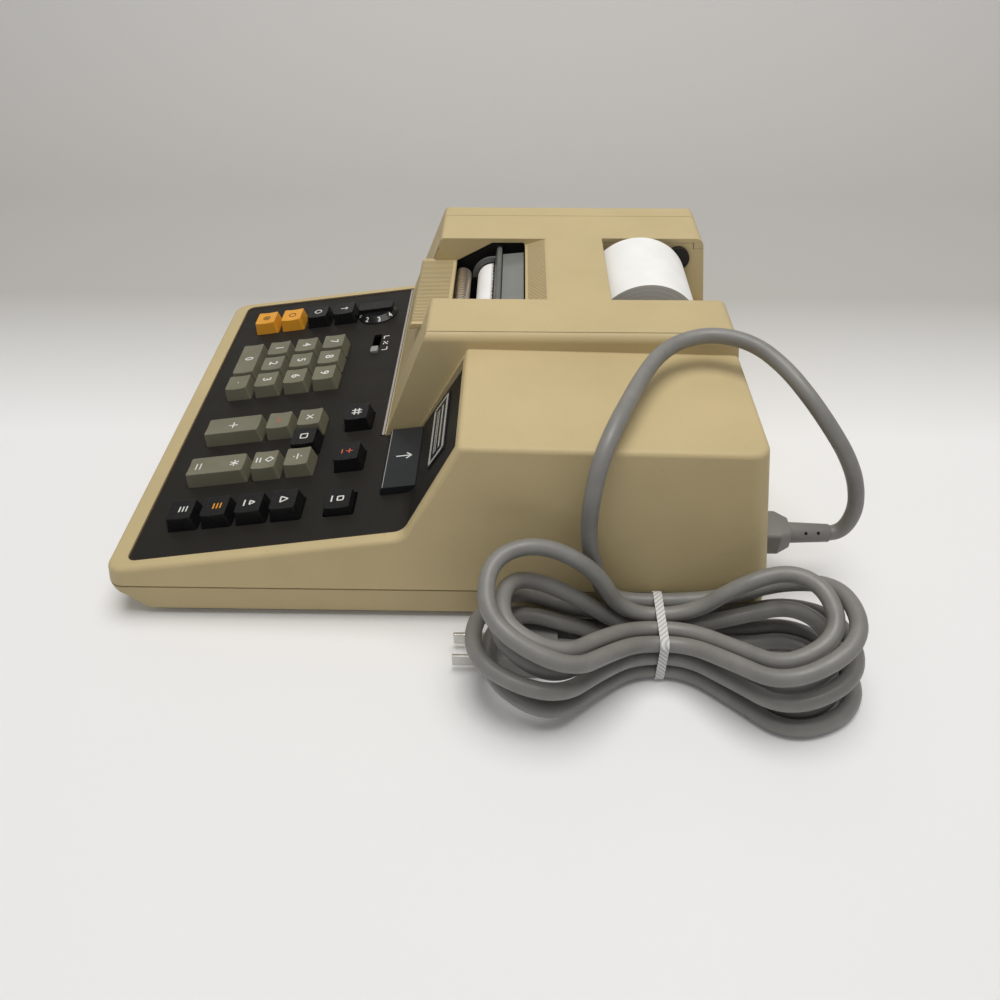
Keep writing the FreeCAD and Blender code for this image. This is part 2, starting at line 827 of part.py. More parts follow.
def upper_case(keys):
    outside = case_mass(0.0, parting_height)
    cavity = case_mass(wall, parting_height - 5)
    shell = outside.cut(cavity)
    under_cover = hump_top - wall

    ring = panel_blank(-panel_thickness - ledge_depth, -1.0, ledge - 0.8, ledge - 0.8)
    ring = ring.cut(behind_panel(ledge + 2, -wall, far / 2))
    well_outer = well_inner(well_wall, well_wall).common(block(-far, far, -far, far, 0, under_cover - cover_lift))
    well_outer = well_outer.common(leaning_block(0.5, parting_height, above_all))
    ledge_left = block(cover_left - cover_gap - 3, cover_left + cover_ledge, -far, far, under_cover - 2, under_cover)
    ledge_right = block(cover_right - cover_ledge, cover_right + cover_gap + 3, -far, far, under_cover - 3,
                        under_cover - 1)
    inside_hump = hump_mass(wall / 2, 60.0)
    bosses = []
    for x, y in screw_places:
        column_up = Part.makeCylinder(boss_outer, 90, V(x, y, screw_seat))
        bosses.append(column_up.common(fuse([right_mass(wall / 2, 0.0)])))
    extras = [ring, well_outer, ledge_left.common(inside_hump), ledge_right.common(inside_hump)] + bosses
    shell = fuse([shell] + extras)

    recess = panel_blank(-panel_thickness, 24.0, panel_gap, panel_gap)
    recess = recess.cut(behind_panel(hump_foot_y - 0.2 - deck_point(panel_back, 0)[0], 0.0, far / 2))
    opening = panel_blank(-9.0, 24.0, -ledge, -ledge).cut(behind_panel(-ledge, ledge, far / 2))
    well = well_inner(0.0, 0.0)
    paper_way = block(roll_x - roll_width / 2 - 1, roll_x + roll_width / 2 + 1, 60, roll_y,
                      paper_low - 1.2, paper_low + 1.2)
    cover_room = block(cover_left - cover_gap, cover_right + cover_gap, -far, far, under_cover, far)
    cover_edge = block(cover_right - cover_ledge, cover_right + cover_gap, -far, far, under_cover - 1, far)
    cover_front = block(cover_left - cover_gap, cover_right + cover_gap, -far, drum_y, cover_seam_z, under_cover)
    cover_rear = block(cover_left - cover_gap, cover_right + cover_gap, roll_y, far, cover_seam_z, under_cover)
    back_y = rear_y(hump_top, hump_rounding + cover_gap)
    cover_back = block(cover_left - cover_gap, cover_right + cover_gap, back_y, far, cover_seam_z, far)
    notch = block(trough_left - trough_wall - cover_gap, trough_right + trough_wall + cover_gap, -far, 5,
                  tab_top - tab_lip - cover_gap, far)
    well_keep = well_outer.cut(well)
    shell = shell.cut([recess, opening, well, paper_way, cover_room, cover_edge, notch])
    shell = shell.cut(cover_front)
    shell = shell.cut([cover_rear.cut(well_keep), cover_back])
    openings = [inlet_hole()]
    for x, y in screw_places:
        openings.append(Part.makeCylinder(screw_radius + 0.05, screw_length - 1, V(x, y, screw_seat - 1)))
    openings.append(feed_opening().cut(block(-far, hump_wall_foot + 0.3, -far, far, -far, far)))
    return shell.cut(openings)


# Printer cover

def groove_cutters(x0, x1, section):
    """Fine grooves running front to back, side by side across the width."""
    cutters = []
    count = int((x1 - x0) / rib_pitch)
    margin = (x1 - x0 - (count - 1) * rib_pitch) / 2
    for i in range(count):
        x = x0 + margin + i * rib_pitch
        cutters.append(prism(section, "yz", x - rib_width / 2, x + rib_width / 2))
    return cutters


def printer_cover():
    outer = hump_mass(0.0, 60.0)
    inner = hump_mass(wall, 50.0)
    span = block(cover_left, cover_right, -far, far, cover_seam_z + cover_lift, far)
    shell = outer.cut(inner).common(span)
    trough = block(trough_left, trough_right, -far, ramp_top_y, 0, far)
    well = block(well_left, trough_right, well_front, far, 0, far)
    shell = shell.cut([trough, well])
    edge_y = hump_front_y(hump_top) + 0.8
    top = hump_top - 0.3
    cheek = [(hump_front_y(tab_top) + 0.2, tab_top - tab_plate), (window_front, tab_top - tab_plate),
             (window_front, tab_top), (cheek_rise_y, cheek_step_z), (window_rear - 1, cheek_step_z),
             (window_rear, window_rear_z - 1.5), (ramp_top_y, top - 2), (ramp_top_y, top), (edge_y, top)]
    left_cheek = prism(cheek, "yz", trough_left - trough_wall, trough_left)
    right_cheek = prism(cheek, "yz", trough_right, trough_right + trough_wall)
    tab = [(tab_front, tab_top - tab_lip), (tab_front + tab_plate, tab_top - tab_lip),
           (tab_front + tab_plate + 1, tab_top - tab_plate, 0.8), (window_front, tab_top - tab_plate),
           (window_front, tab_top, 0.6), (tab_front, tab_top, 1.8)]
    tab_solid = prism(tab, "yz", trough_left - trough_wall, trough_right + trough_wall)
    ramp = [(window_rear, window_rear_z), (window_rear + 1.0, window_rear_z - 1.8), (ramp_top_y, hump_top - wall),
            (ramp_top_y + 1, hump_top - wall), (ramp_top_y + 1, hump_top), (ramp_top_y, hump_top)]
    ramp_solid = prism(ramp, "yz", trough_left - 0.5, trough_right + 0.5)
    rear = rear_y(hump_top, hump_rounding + cover_gap) + cover_gap
    corners = [block(x - well_wall, x, rear, far, 0, far).common(outer).common(span)
               for x in (well_left, trough_right + well_wall)]
    cover = fuse([shell, left_cheek, right_cheek, tab_solid, ramp_solid] + corners)
    tab_groove = [(tab_front - 1, tab_top - tab_lip - 1), (tab_front + rib_depth, tab_top - tab_lip - 1),
                  (tab_front + rib_depth, tab_top - rib_depth, 1.5), (window_front - 2, tab_top - rib_depth),
                  (window_front - 2, tab_top + 1), (tab_front - 1, tab_top + 1)]
    rise = (hump_top - window_rear_z) / (ramp_top_y - window_rear)
    y0 = window_rear + 1.5
    y1 = ramp_top_y - 1.5
    z0 = window_rear_z + (y0 - window_rear) * rise - rib_depth
    z1 = window_rear_z + (y1 - window_rear) * rise - rib_depth
    ramp_groove = [(y0, z0), (y1, z1), (y1, z1 + 2), (y0, z0 + 2)]
    cutters = groove_cutters(trough_left, trough_right, tab_groove)
    cutters += groove_cutters(trough_left, trough_right, ramp_groove)
    return cover.cut(cutters)


# Printer

def gear(teeth, x0, axis_y, axis_z, turn):
    """Spur gear along X with slim straight-sided teeth, the first one turned by an angle."""
    pitch_radius = teeth * gear_module / 2
    tip = pitch_radius + 0.8 * gear_module
    root = pitch_radius - 1.2 * gear_module
    points = []
    for i in range(teeth):
        centre = turn + 2 * math.pi * i / teeth
        for radius, share in ((root, -0.3), (tip, -0.12), (tip, 0.12), (root, 0.3)):
            angle = centre + share * 2 * math.pi / teeth
            points.append((axis_y + radius * math.cos(angle), axis_z + radius * math.sin(angle)))
    return prism(points, "yz", x0, x0 + gear_width)


gear_x = frame_right + frame_plate + gear_stand_off
gear_reach = (drum_teeth + pinion_teeth) * gear_module / 2
pinion_y = drum_y + gear_reach * math.cos(math.radians(pinion_angle))
pinion_z = drum_z + gear_reach * math.sin(math.radians(pinion_angle))
axle_left = frame_left - 1.5
motor_face = gear_x + gear_width + 1.2


def print_drum():
    count = int((drum_right - drum_left) / drum_pitch)
    points = [(drum_left, 0.0), (drum_left, drum_radius - drum_groove)]
    for i in range(count):
        x = drum_left + i * drum_pitch
        points += [(x + 0.3 * drum_pitch, drum_radius - drum_groove), (x + 0.4 * drum_pitch, drum_radius),
                   (x + 0.9 * drum_pitch, drum_radius), (x + drum_pitch, drum_radius - drum_groove)]
    points += [(drum_right, drum_radius - drum_groove), (drum_right, 0.0)]
    clean = [points[0]]
    for p in points[1:]:
        if math.dist(p, clean[-1]) > 1e-4:
            clean.append(p)
    section = Part.Face(outline(clean, "xy", 0.0))
    body = section.revolve(V(0, 0, 0), V(1, 0, 0), 360)
    body.translate(V(0, drum_y, drum_z))
    axle = rod(axle_radius, V(axle_left, drum_y, drum_z), V(gear_x + gear_width, drum_y, drum_z))
    wheel = gear(drum_teeth, gear_x, drum_y, drum_z, math.radians(pinion_angle))
    return fuse([body, axle, wheel])


def motor_pinion():
    turn = math.radians(pinion_angle) + math.pi + math.pi / pinion_teeth
    wheel = gear(pinion_teeth, gear_x, pinion_y, pinion_z, turn)
    shaft = rod(motor_shaft, V(gear_x, pinion_y, pinion_z), V(motor_face + motor_bore, pinion_y, pinion_z))
    return fuse([wheel, shaft])


def printer_motor():
    can = rod(motor_radius, V(motor_face, pinion_y, pinion_z), V(motor_face + motor_length, pinion_y, pinion_z))
    cap = rod(motor_radius - 5, V(motor_face + motor_length - 1, pinion_y, pinion_z),
              V(motor_face + motor_length + 3, pinion_y, pinion_z))
    bore = rod(motor_shaft + axle_fit, V(motor_face - 1, pinion_y, pinion_z),
               V(motor_face + motor_bore + 1, pinion_y, pinion_z))
    stands = []
    for angle in (-20.0, -130.0):
        y = pinion_y + (motor_radius - 1.7) * math.cos(math.radians(angle))
        z = pinion_z + (motor_radius - 1.7) * math.sin(math.radians(angle))
        stands.append(rod(1.5, V(frame_right + frame_plate, y, z), V(motor_face + 1, y, z)))
    return fuse([can, cap] + stands).cut(bore)


def platen_roller():
    body = rod(platen_radius, V(drum_left - 1, platen_y, platen_z), V(drum_right + 1, platen_y, platen_z))
    axle = rod(axle_radius, V(axle_left, platen_y, platen_z),
               V(frame_right + frame_plate + 0.2, platen_y, platen_z))
    return fuse([body, axle])


def printer_frame():
    x0 = frame_left
    x1 = frame_right + frame_plate
    base = block(x0, x1, frame_front, frame_rear, frame_base_z, frame_base_z + frame_plate)
    side = [(frame_front, frame_base_z), (frame_rear, frame_base_z), (frame_rear, frame_top, 6.0),
            (frame_front + 8, frame_top, 6.0), (frame_front, frame_top - 12, 4.0)]
    left = prism(side, "yz", x0, x0 + frame_plate)
    right = prism(side, "yz", frame_right, frame_right + frame_plate)
    rods = [rod(2.0, V(x0, y, z), V(x1, y, z)) for y, z in tie_rods]
    frame = fuse([base, left, right] + rods)
    holes = [rod(axle_radius + axle_fit, V(x0 - 1, y, z), V(x1 + 1, y, z))
             for y, z in ((drum_y, drum_z), (platen_y, platen_z))]
    return frame.cut(holes)


def ribbon(points, thickness, x0, x1):
    """A thin bent sheet whose middle follows corners (y, z, radius)."""
    left = []
    right = []
    count = len(points)
    for i in range(count):
        here = points[i]
        before = points[max(i - 1, 0)]
        after = points[min(i + 1, count - 1)]
        first = V(here[0] - before[0], here[1] - before[1], 0)
        second = V(after[0] - here[0], after[1] - here[1], 0)
        if i == 0:
            first = second
        if i == count - 1:
            second = first
        first = first.normalize()
        second = second.normalize()
        way = (first + second).normalize()
        side = V(-way.y, way.x, 0)
        reach = thickness / 2 / max(way.dot(first), 0.1)
        turn = first.x * second.y - first.y * second.x
        radius = here[2] if len(here) > 2 else 0.0
        bend = math.copysign(thickness / 2, turn) if radius > 0 else 0.0
        left.append((here[0] + side.x * reach, here[1] + side.y * reach, max(radius - bend, 0.0)))
        right.append((here[0] - side.x * reach, here[1] - side.y * reach, max(radius + bend, 0.0)))
    return prism(left + right[::-1], "yz", x0, x1)


paper_low = roll_z - roll_radius - 0.3 - paper_thickness / 2
paper_front = platen_y - platen_radius - 0.3 - paper_thickness / 2
paper_over = platen_z + platen_radius + 0.3 + paper_thickness / 2


def paper_strip():
    route = [(roll_y, paper_low), (paper_front, paper_low, 9.0),
             (paper_front, paper_over, platen_radius + 0.3 + paper_thickness / 2), (tear_y - 0.6, paper_over)]
    return ribbon(route, paper_thickness, roll_x - roll_width / 2, roll_x + roll_width / 2)


def tear_bar():
    section = [(tear_y, tear_low), (tear_y + tear_width - 1, tear_low), (tear_y + tear_width, tear_high - 2),
               (tear_y + tear_width, tear_high, 0.8), (tear_y + 1.4, tear_high, 1.0)]
    bar = prism(section, "yz", frame_left + frame_plate, frame_right)
    x1 = roll_x - roll_width / 2 - tear_cheek_gap
    x0 = x1 - tear_cheek
    inner = platen_radius + tear_cheek_gap
    ring = rod(inner + tear_cheek_reach, V(x0, platen_y, platen_z), V(x1, platen_y, platen_z))
    ring = ring.cut(rod(inner, V(x0 - 1, platen_y, platen_z), V(x1 + 1, platen_y, platen_z)))
    cheek = ring.common(block(x0, x1, platen_y - far, tear_y + 1, platen_z, far))
    return fuse([bar, cheek])


def paper_guide():
    section = [(guide_front, guide_z - 1.2), (guide_rear, guide_z), (guide_rear, guide_z + guide_thickness),
               (guide_front, guide_z + guide_thickness - 1.2)]
    return prism(section, "yz", roll_x - roll_width / 2 - guide_overhang, frame_right)


# Paper roll

def paper_roll():
    x0 = roll_x - roll_width / 2
    roll = rod(roll_radius, V(x0, roll_y, roll_z), V(x0 + roll_width, roll_y, roll_z))
    return roll.cut(rod(core_radius, V(x0 - 1, roll_y, roll_z), V(x0 + roll_width + 1, roll_y, roll_z)))


def roll_spindle():
    return rod(spindle_radius, V(well_left, roll_y, roll_z), V(trough_right, roll_y, roll_z))


def well_boss():
    return rod(boss_radius, V(well_left, boss_y, boss_z), V(well_left + boss_height, boss_y, boss_z))


# Electrics

def main_board():
    board = block(main_left, main_right, main_front, main_rear, main_board_z, main_board_z + board_thickness)
    top = main_board_z + board_thickness
    chips = []
    for i in range(chip_count):
        x = main_left + 18 + i * 24.0
        chips.append(block(x, x + 8, main_front + 16, main_front + 44, top - 0.2, top + 4))
    capacitor = Part.makeCylinder(9, 26, V(main_left + 30, main_rear - 22, top - 0.2))
    sink = block(main_left + 60, main_left + 64, main_rear - 40, main_rear - 10, top - 0.2, top + 22)
    return fuse([board, capacitor, sink] + chips)


def transformer():
    x0 = transformer_x - transformer_width / 2
    x1 = transformer_x + transformer_width / 2
    y0 = transformer_y - transformer_length / 2
    y1 = transformer_y + transformer_length / 2
    core = block(x0, x1, y0, y1, floor_top + 2, floor_top + 2 + transformer_height)
    foot = block(x0 - 8, x1 + 8, y0 + 6, y1 - 6, floor_top, floor_top + 2)
    mid = floor_top + 2 + transformer_height / 2
    winding = block(x0 + 6, x1 - 6, y0 - 8, y1 + 8, mid - 13, mid + 13)
    return fuse([core, foot, winding])


# Mains inlet, connector and lead

def inlet_hole():
    width = connector_width + 2 * inlet_wall
    height = connector_height + 2 * inlet_wall
    return block(inlet_x - width / 2 - fit, inlet_x + width / 2 + fit, inlet_front + 8, far,
                 inlet_z - height / 2 - fit, inlet_z + height / 2 + fit)


def power_inlet():
    width = connector_width + 2 * inlet_wall
    height = connector_height + 2 * inlet_wall
    body = block(inlet_x - width / 2, inlet_x + width / 2, inlet_front, inlet_rear,
                 inlet_z - height / 2, inlet_z + height / 2)
    flange = block(inlet_x - width / 2 - 3, inlet_x + width / 2 + 3, inlet_front + 3, inlet_front + 5,
                   inlet_z - height / 2 - 3, inlet_z + height / 2 + 3)
    nose = nose_block(fit, inlet_front + 2, far)
    return fuse([body, flange]).cut(nose)


def nose_block(grow, y0, y1):
    a = connector_width / 2 - 1.5 + grow
    b = connector_height / 2 - 1.5 + grow
    return prism([(inlet_x - a, inlet_z - b, 2.0), (inlet_x + a, inlet_z - b, 2.0),
                  (inlet_x + a, inlet_z + b, 2.0), (inlet_x - a, inlet_z + b, 2.0)], "xz", y0, y1)


def connector_wire(shrink, y):
    a = connector_width / 2 - shrink
    b = connector_height / 2 - shrink * 0.5
    return outline([(inlet_x - a, inlet_z - b, 2.0), (inlet_x + a, inlet_z - b, 2.0),
                    (inlet_x + a, inlet_z + b, 2.0), (inlet_x - a, inlet_z + b, 2.0)], "xz", y)


lead_start = V(inlet_x, sleeve_end_y - sleeve_bore, inlet_z)


def cord_connector():
    nose = nose_block(0.0, connector_face_y - nose_length, connector_face_y)
    middle = connector_face_y + (connector_rear_y - connector_face_y) * 0.55
    front = Part.makeLoft([connector_wire(0.0, connector_face_y), connector_wire(0.0, middle)], True, True)
    back = Part.makeLoft([connector_wire(0.0, middle), connector_wire(3.0, connector_rear_y)], True, True)
    sleeve = Part.makeCone(sleeve_near / 2, sleeve_far / 2, sleeve_end_y - connector_rear_y + 1,
                           V(inlet_x, connector_rear_y - 1, inlet_z), V(0, 1, 0))
    bore = rod(cord_diameter / 2, lead_start, V(inlet_x, far, inlet_z))
    return fuse([nose, front, back, sleeve]).cut(bore)


def tube_path(points):
    """Straight runs joined by tangent arcs, each as large as its shorter run allows."""
    edges = []
    radii = []
    start = points[0]
    for i in range(1, len(points) - 1):
        here = points[i]
        back = points[i - 1] - here
        ahead = points[i + 1] - here
        reach = 0.45 * min(back.Length, ahead.Length)
        back = back.normalize()
        ahead = ahead.normalize()
        half = back.getAngle(ahead) / 2
        turn = math.pi - 2 * half
        radius = reach / math.tan(turn / 2)
        radii.append(radius)
        first = here + back * reach
        last = here + ahead * reach
        towards = (back + ahead).normalize()
        middle = here + towards * (radius / math.sin(half) - radius)
        edges.append(Part.LineSegment(start, first).toShape())
        edges.append(Part.Arc(first, middle, last).toShape())
        start = last
    edges.append(Part.LineSegment(start, points[-1]).toShape())
    return edges, radii


def sweep(edges):
    path = Part.Wire(edges)
    start = edges[0].Vertexes[0].Point
    direction = edges[0].tangentAt(edges[0].FirstParameter)
    ring = Part.Wire([Part.Circle(start, direction, cord_diameter / 2).toShape()])
    shell = Part.BRepOffsetAPI.MakePipeShell(path)
    shell.add(ring)
    shell.build()
    shell.makeSolid()
    return shell.shape()


def arc_to(start, heading, end):
    """The arc that leaves start along heading and ends at end, or a line where it is straight."""
    chord = end - start
    along = chord.dot(heading)
    across = chord - heading * along
    if across.Length < 1e-4:
        return Part.LineSegment(start, end).toShape(), heading
    radius = chord.Length ** 2 / (2 * across.Length)
    side = V(across).normalize()
    centre = start + side * radius
    half_turn = math.atan2(across.Length, along)
    middle = centre - side * (radius * math.cos(half_turn)) + heading * (radius * math.sin(half_turn))
    leaving = heading * math.cos(2 * half_turn) + side * math.sin(2 * half_turn)
    return Part.Arc(start, middle, end).toShape(), leaving


def biarc(start, heading, end, final):
    """Two arcs that join two points with given headings."""
    chord = end - start
    both = heading + final
    a = 2 * (1 - heading.dot(final))
    b = 2 * chord.dot(both)
    c = -chord.dot(chord)
    if abs(a) < 1e-9:
        reach = -c / b
    else:
        reach = (-b + math.sqrt(b * b - 4 * a * c)) / (2 * a)
    joint = (start + heading * reach + end - final * reach) * 0.5
    first, way = arc_to(start, heading, joint)
    second, way = arc_to(joint, way, end)
    return [first, second]


def hank_level(turns):
    """How many steps inward the cord lies: it spirals in and out again along the left folds, row by row."""
    level = 0.0
    for start, step in hank_shifts:
        level += step * min(max((turns - start) / 0.125, 0.0), 1.0)
    return level


def hank_row(turns):
    """Which row the cord lies in, counted down from the top; it changes rows along two of the left folds."""
    rows = 0.0
    for climb in hank_climbs:
        rows += min(max((turns - climb + 0.125) / 0.25, 0.0), 1.0)
    return rows


def hank_side(eighth):
    """-1 on the side next to the case, 1 on the outer side, 0 at the folds' tips."""
    return (-1, -1, 0, 1, 1, 1, 0, -1)[eighth % 8]


def hank_height(eighth):
    """Height of the cord's middle; the folds fan out upward, most on the side next to the case."""
    turns = eighth / 8.0
    phase = eighth % 8
    above = hank_rows - 1 - hank_row(turns)
    z = hank_base + above * row_pitch
    if phase in (0, 4):
        return z
    rise = fan_right * above if phase in (1, 2, 3) else lift_left + fan_left * above
    share = 1.0
    if hank_side(eighth) > 0:
        share = near_share
    elif hank_side(eighth) < 0:
        share = far_share + (1.0 - far_share) * hank_level(turns)
    return z + rise * share


def hank_knot(eighth):
    """A point of the hank and the cord's heading there, eight to a turn."""
    turns = eighth / 8.0
    phase = eighth % 8
    side = hank_side(eighth)
    level = hank_level(turns)
    above = hank_rows - 1 - hank_row(turns)
    z = hank_height(eighth)
    if phase in (0, 4):
        return V(hank_x + side * (waist_half - waist_step * level), hank_y, z), V(0, -side, 0)
    end = 1.0 if phase in (1, 2, 3) else -1.0
    radius = fold_radius - fold_step * level
    centre_x = hank_x + fold_shift - fold_lean * above
    centre_y = hank_y + end * (fold_centre + fold_reach * (hank_rows - 1 - above))
    change = hank_height(eighth + 1) - hank_height(eighth - 1)
    if side == 0:
        slope = change / (4.0 * radius)
        return V(centre_x, centre_y + end * radius, z), V(end, 0, slope).normalize()
    spread = math.radians(shoulder_far if side < 0 else shoulder_near)
    point = V(centre_x + side * radius * math.cos(spread), centre_y - end * radius * math.sin(spread), z)
    way = 1.0 if phase in (1, 5) else -1.0
    slope = change / (fold_centre + 2.0 * radius)
    return point, V(side * math.sin(spread) * way, end * math.cos(spread) * way, slope).normalize()


def hank_edges():
    first, heading = hank_knot(0)
    lead = first - heading * hank_lead
    edges = [Part.LineSegment(lead, first).toShape()]
    last = int(round(hank_turns * 8))
    here = first
    for eighth in range(1, last + 1):
        point, ahead = hank_knot(eighth)
        edges += biarc(here, heading, point, ahead)
        here = point
        heading = ahead
    straight = plug_entry + V(0, cord_diameter + 1, 0)
    edges += biarc(here, heading, straight, V(0, -1, 0))
    edges.append(Part.LineSegment(straight, plug_entry).toShape())
    return lead, edges


def least_gap(edges, apart):
    """The least clear distance of the cord to itself, between places further apart than a length along it."""
    points = []
    travelled = []
    total = 0.0
    for edge in edges:
        count = max(int(edge.Length / 2.5), 2)
        for i in range(count):
            share = edge.FirstParameter + (edge.LastParameter - edge.FirstParameter) * i / count
            points.append(edge.valueAt(share))
            travelled.append(total + edge.Length * i / count)
        total += edge.Length
    least = far
    for i in range(len(points)):
        for j in range(i + 1, len(points)):
            if travelled[j] - travelled[i] < apart:
                continue
            least = min(least, points[i].distanceToPoint(points[j]))
    return least - cord_diameter


def cord_tie():
    x0 = hank_x - waist_half - cord_diameter / 2 - tie_gap
    x1 = hank_x + waist_half + cord_diameter / 2 + tie_gap
    z0 = hank_base - cord_diameter / 2 - tie_gap
    z1 = hank_base + (hank_rows - 1) * row_pitch + cord_diameter / 2 + tie_gap
    r = cord_diameter / 2
    t = tie_thickness
    inner = prism([(x0, z0, r), (x1, z0, r), (x1, z1, r), (x0, z1, r)], "xz", hank_y - tie_width / 2,
                  hank_y + tie_width / 2)
    outer = prism([(x0 - t, z0 - t, r + t), (x1 + t, z0 - t, r + t), (x1 + t, z1 + t, r + t),
                   (x0 - t, z1 + t, r + t)], "xz", hank_y - tie_width / 2, hank_y + tie_width / 2)
    return outer.cut(inner)


def plug():
    x = plug_entry.x
    z = plug_height / 2
    rear = plug_entry.y - relief_length
    front = rear - plug_length
    a = plug_width / 2
    body = prism([(x - a, 0.0, 2.0), (x + a, 0.0, 2.0), (x + a, plug_height, 2.0), (x - a, plug_height, 2.0)],
                 "xz", front, rear)
    relief = Part.makeCone(relief_near / 2, relief_far / 2, relief_length + 1, V(x, rear - 1, z), V(0, 1, 0))
    blades = []
    for side in (-1, 1):
        blade_x = x + side * blade_spacing / 2
        blades.append(block(blade_x - blade_thickness / 2, blade_x + blade_thickness / 2, front - blade_length,
                            front + 1, z - blade_height / 2, z + blade_height / 2))
    return fuse([body, relief] + blades)


# Build

keys = all_keys()
for key in keys:
    save(key.name, key.solid())
save("paper_feed_key", feed_key())
save("decimal_dial", dial())
save("rounding_switch", slide_knob())
feed_switch = switch_body(feed_stem_x, (feed_front + feed_back) / 2)
switches = [k.switch() for k in keys] + [feed_switch, dial_switch(), slide_switch()]
save("key_switches", Part.makeCompound([on_deck(s) for s in switches]))
save("keyboard_board", keyboard_board())
save("keyboard_panel", panel(keys))
save("name_plate", name_plate())
save("lower_case", lower_case())
save("case_screws", case_screws())
save("rubber_feet", rubber_feet())
save("upper_case", upper_case(keys))
save("printer_cover", printer_cover())
save("print_drum", print_drum())
save("motor_pinion", motor_pinion())
save("printer_motor", printer_motor())
save("platen_roller", platen_roller())
save("printer_frame", printer_frame())
save("paper_strip", paper_strip())
save("tear_bar", tear_bar())
save("paper_guide", paper_guide())
save("paper_roll", paper_roll())
save("roll_spindle", roll_spindle())
save("well_boss", well_boss())
save("main_board", main_board())
save("transformer", transformer())
save("power_inlet", power_inlet())
save("cord_connector", cord_connector())

hank_start, hank_path = hank_edges()
last_corner = hank_start - V(0, lead_straight, 0)
free_path, free_radii = tube_path([lead_start] + free_route + [last_corner, hank_start])
save("cord_free", sweep(free_path))
save("cord_hank", sweep(hank_path))
save("cord_tie", cord_tie())
save("plug", plug())
free_length = sum(e.Length for e in free_path)
hank_length = sum(e.Length for e in hank_path)
print("cord radii", [round(r, 1) for r in free_radii])
print("cord lengths", round(free_length, 1), round(hank_length, 1), "in all", round(free_length + hank_length, 1))
print("hank least gap to itself", round(least_gap(hank_path, 30.0), 2))
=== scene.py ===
import json
import math
import random
import bmesh
import bpy
from mathutils import Matrix, Vector
from mathutils.bvhtree import BVHTree

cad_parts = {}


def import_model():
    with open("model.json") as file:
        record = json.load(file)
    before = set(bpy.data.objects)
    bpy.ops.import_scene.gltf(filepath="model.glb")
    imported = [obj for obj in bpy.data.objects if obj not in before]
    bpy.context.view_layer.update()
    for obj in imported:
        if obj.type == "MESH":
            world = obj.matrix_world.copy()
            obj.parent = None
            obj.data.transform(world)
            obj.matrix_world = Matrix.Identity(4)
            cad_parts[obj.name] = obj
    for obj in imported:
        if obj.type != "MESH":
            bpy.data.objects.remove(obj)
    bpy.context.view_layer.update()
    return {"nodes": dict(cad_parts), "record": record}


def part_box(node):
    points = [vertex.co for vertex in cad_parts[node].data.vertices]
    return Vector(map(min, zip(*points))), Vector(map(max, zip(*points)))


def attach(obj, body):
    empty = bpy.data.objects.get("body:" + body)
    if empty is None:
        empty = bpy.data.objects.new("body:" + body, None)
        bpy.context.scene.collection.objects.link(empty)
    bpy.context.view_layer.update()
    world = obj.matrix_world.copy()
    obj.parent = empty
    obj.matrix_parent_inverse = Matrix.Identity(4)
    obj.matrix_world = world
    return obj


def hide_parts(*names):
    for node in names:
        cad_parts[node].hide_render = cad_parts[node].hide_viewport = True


# The looks of a desk printing calculator. Lengths are in metres once they are multiplied by MM.

MM = 0.001
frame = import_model()
nodes = frame["nodes"]


# Driving values repeated from the solids; a length without MM is in millimetres

SLOPE = math.radians(8.3)
DECK = Matrix.Translation((0, -73.4 * MM, 40.67 * MM)) @ Matrix.Rotation(SLOPE, 4, "X")
FASCIA = math.radians(58.2)
CORD_DIAMETER = 7.5 * MM
HANK_X = 149.0
HANK_Y = 104.0
HANK_BASE = 4.6
HANK_ROWS = 3
ROW_PITCH = 8.8
HANK_TURNS = 5.5
HANK_CLIMBS = (1.75, 3.75)
HANK_SHIFTS = ((0.75, 1), (2.75, -1), (4.625, 1))
WAIST_HALF = 12.75
WAIST_STEP = 8.5
FOLD_RADIUS = 28.0
FOLD_STEP = 8.6
FOLD_CENTRE = 50.0
FOLD_REACH = 4.0
FOLD_SHIFT = 14.7
FOLD_LEAN = 1.2
SHOULDER_NEAR = 42.0
SHOULDER_FAR = 10.0
NEAR_SHARE = 0.4
FAR_SHARE = 0.25
LIFT_LEFT = 15.2
FAN_LEFT = 11.0
FAN_RIGHT = 12.0
PLUG_ENTRY = Vector((153.25, 76.0, 6.5))
DIAL_RADIUS = 13.0
DIAL_TAPER = 3.5
DIAL_HEIGHT = 3.5
DIAL_FOOT = 0.4
PANEL_BACK = 39.4
PLUG_BLADES = 16.5
DRUM_RADIUS = 4.8
STRIP_THICKNESS = 0.3


# Materials

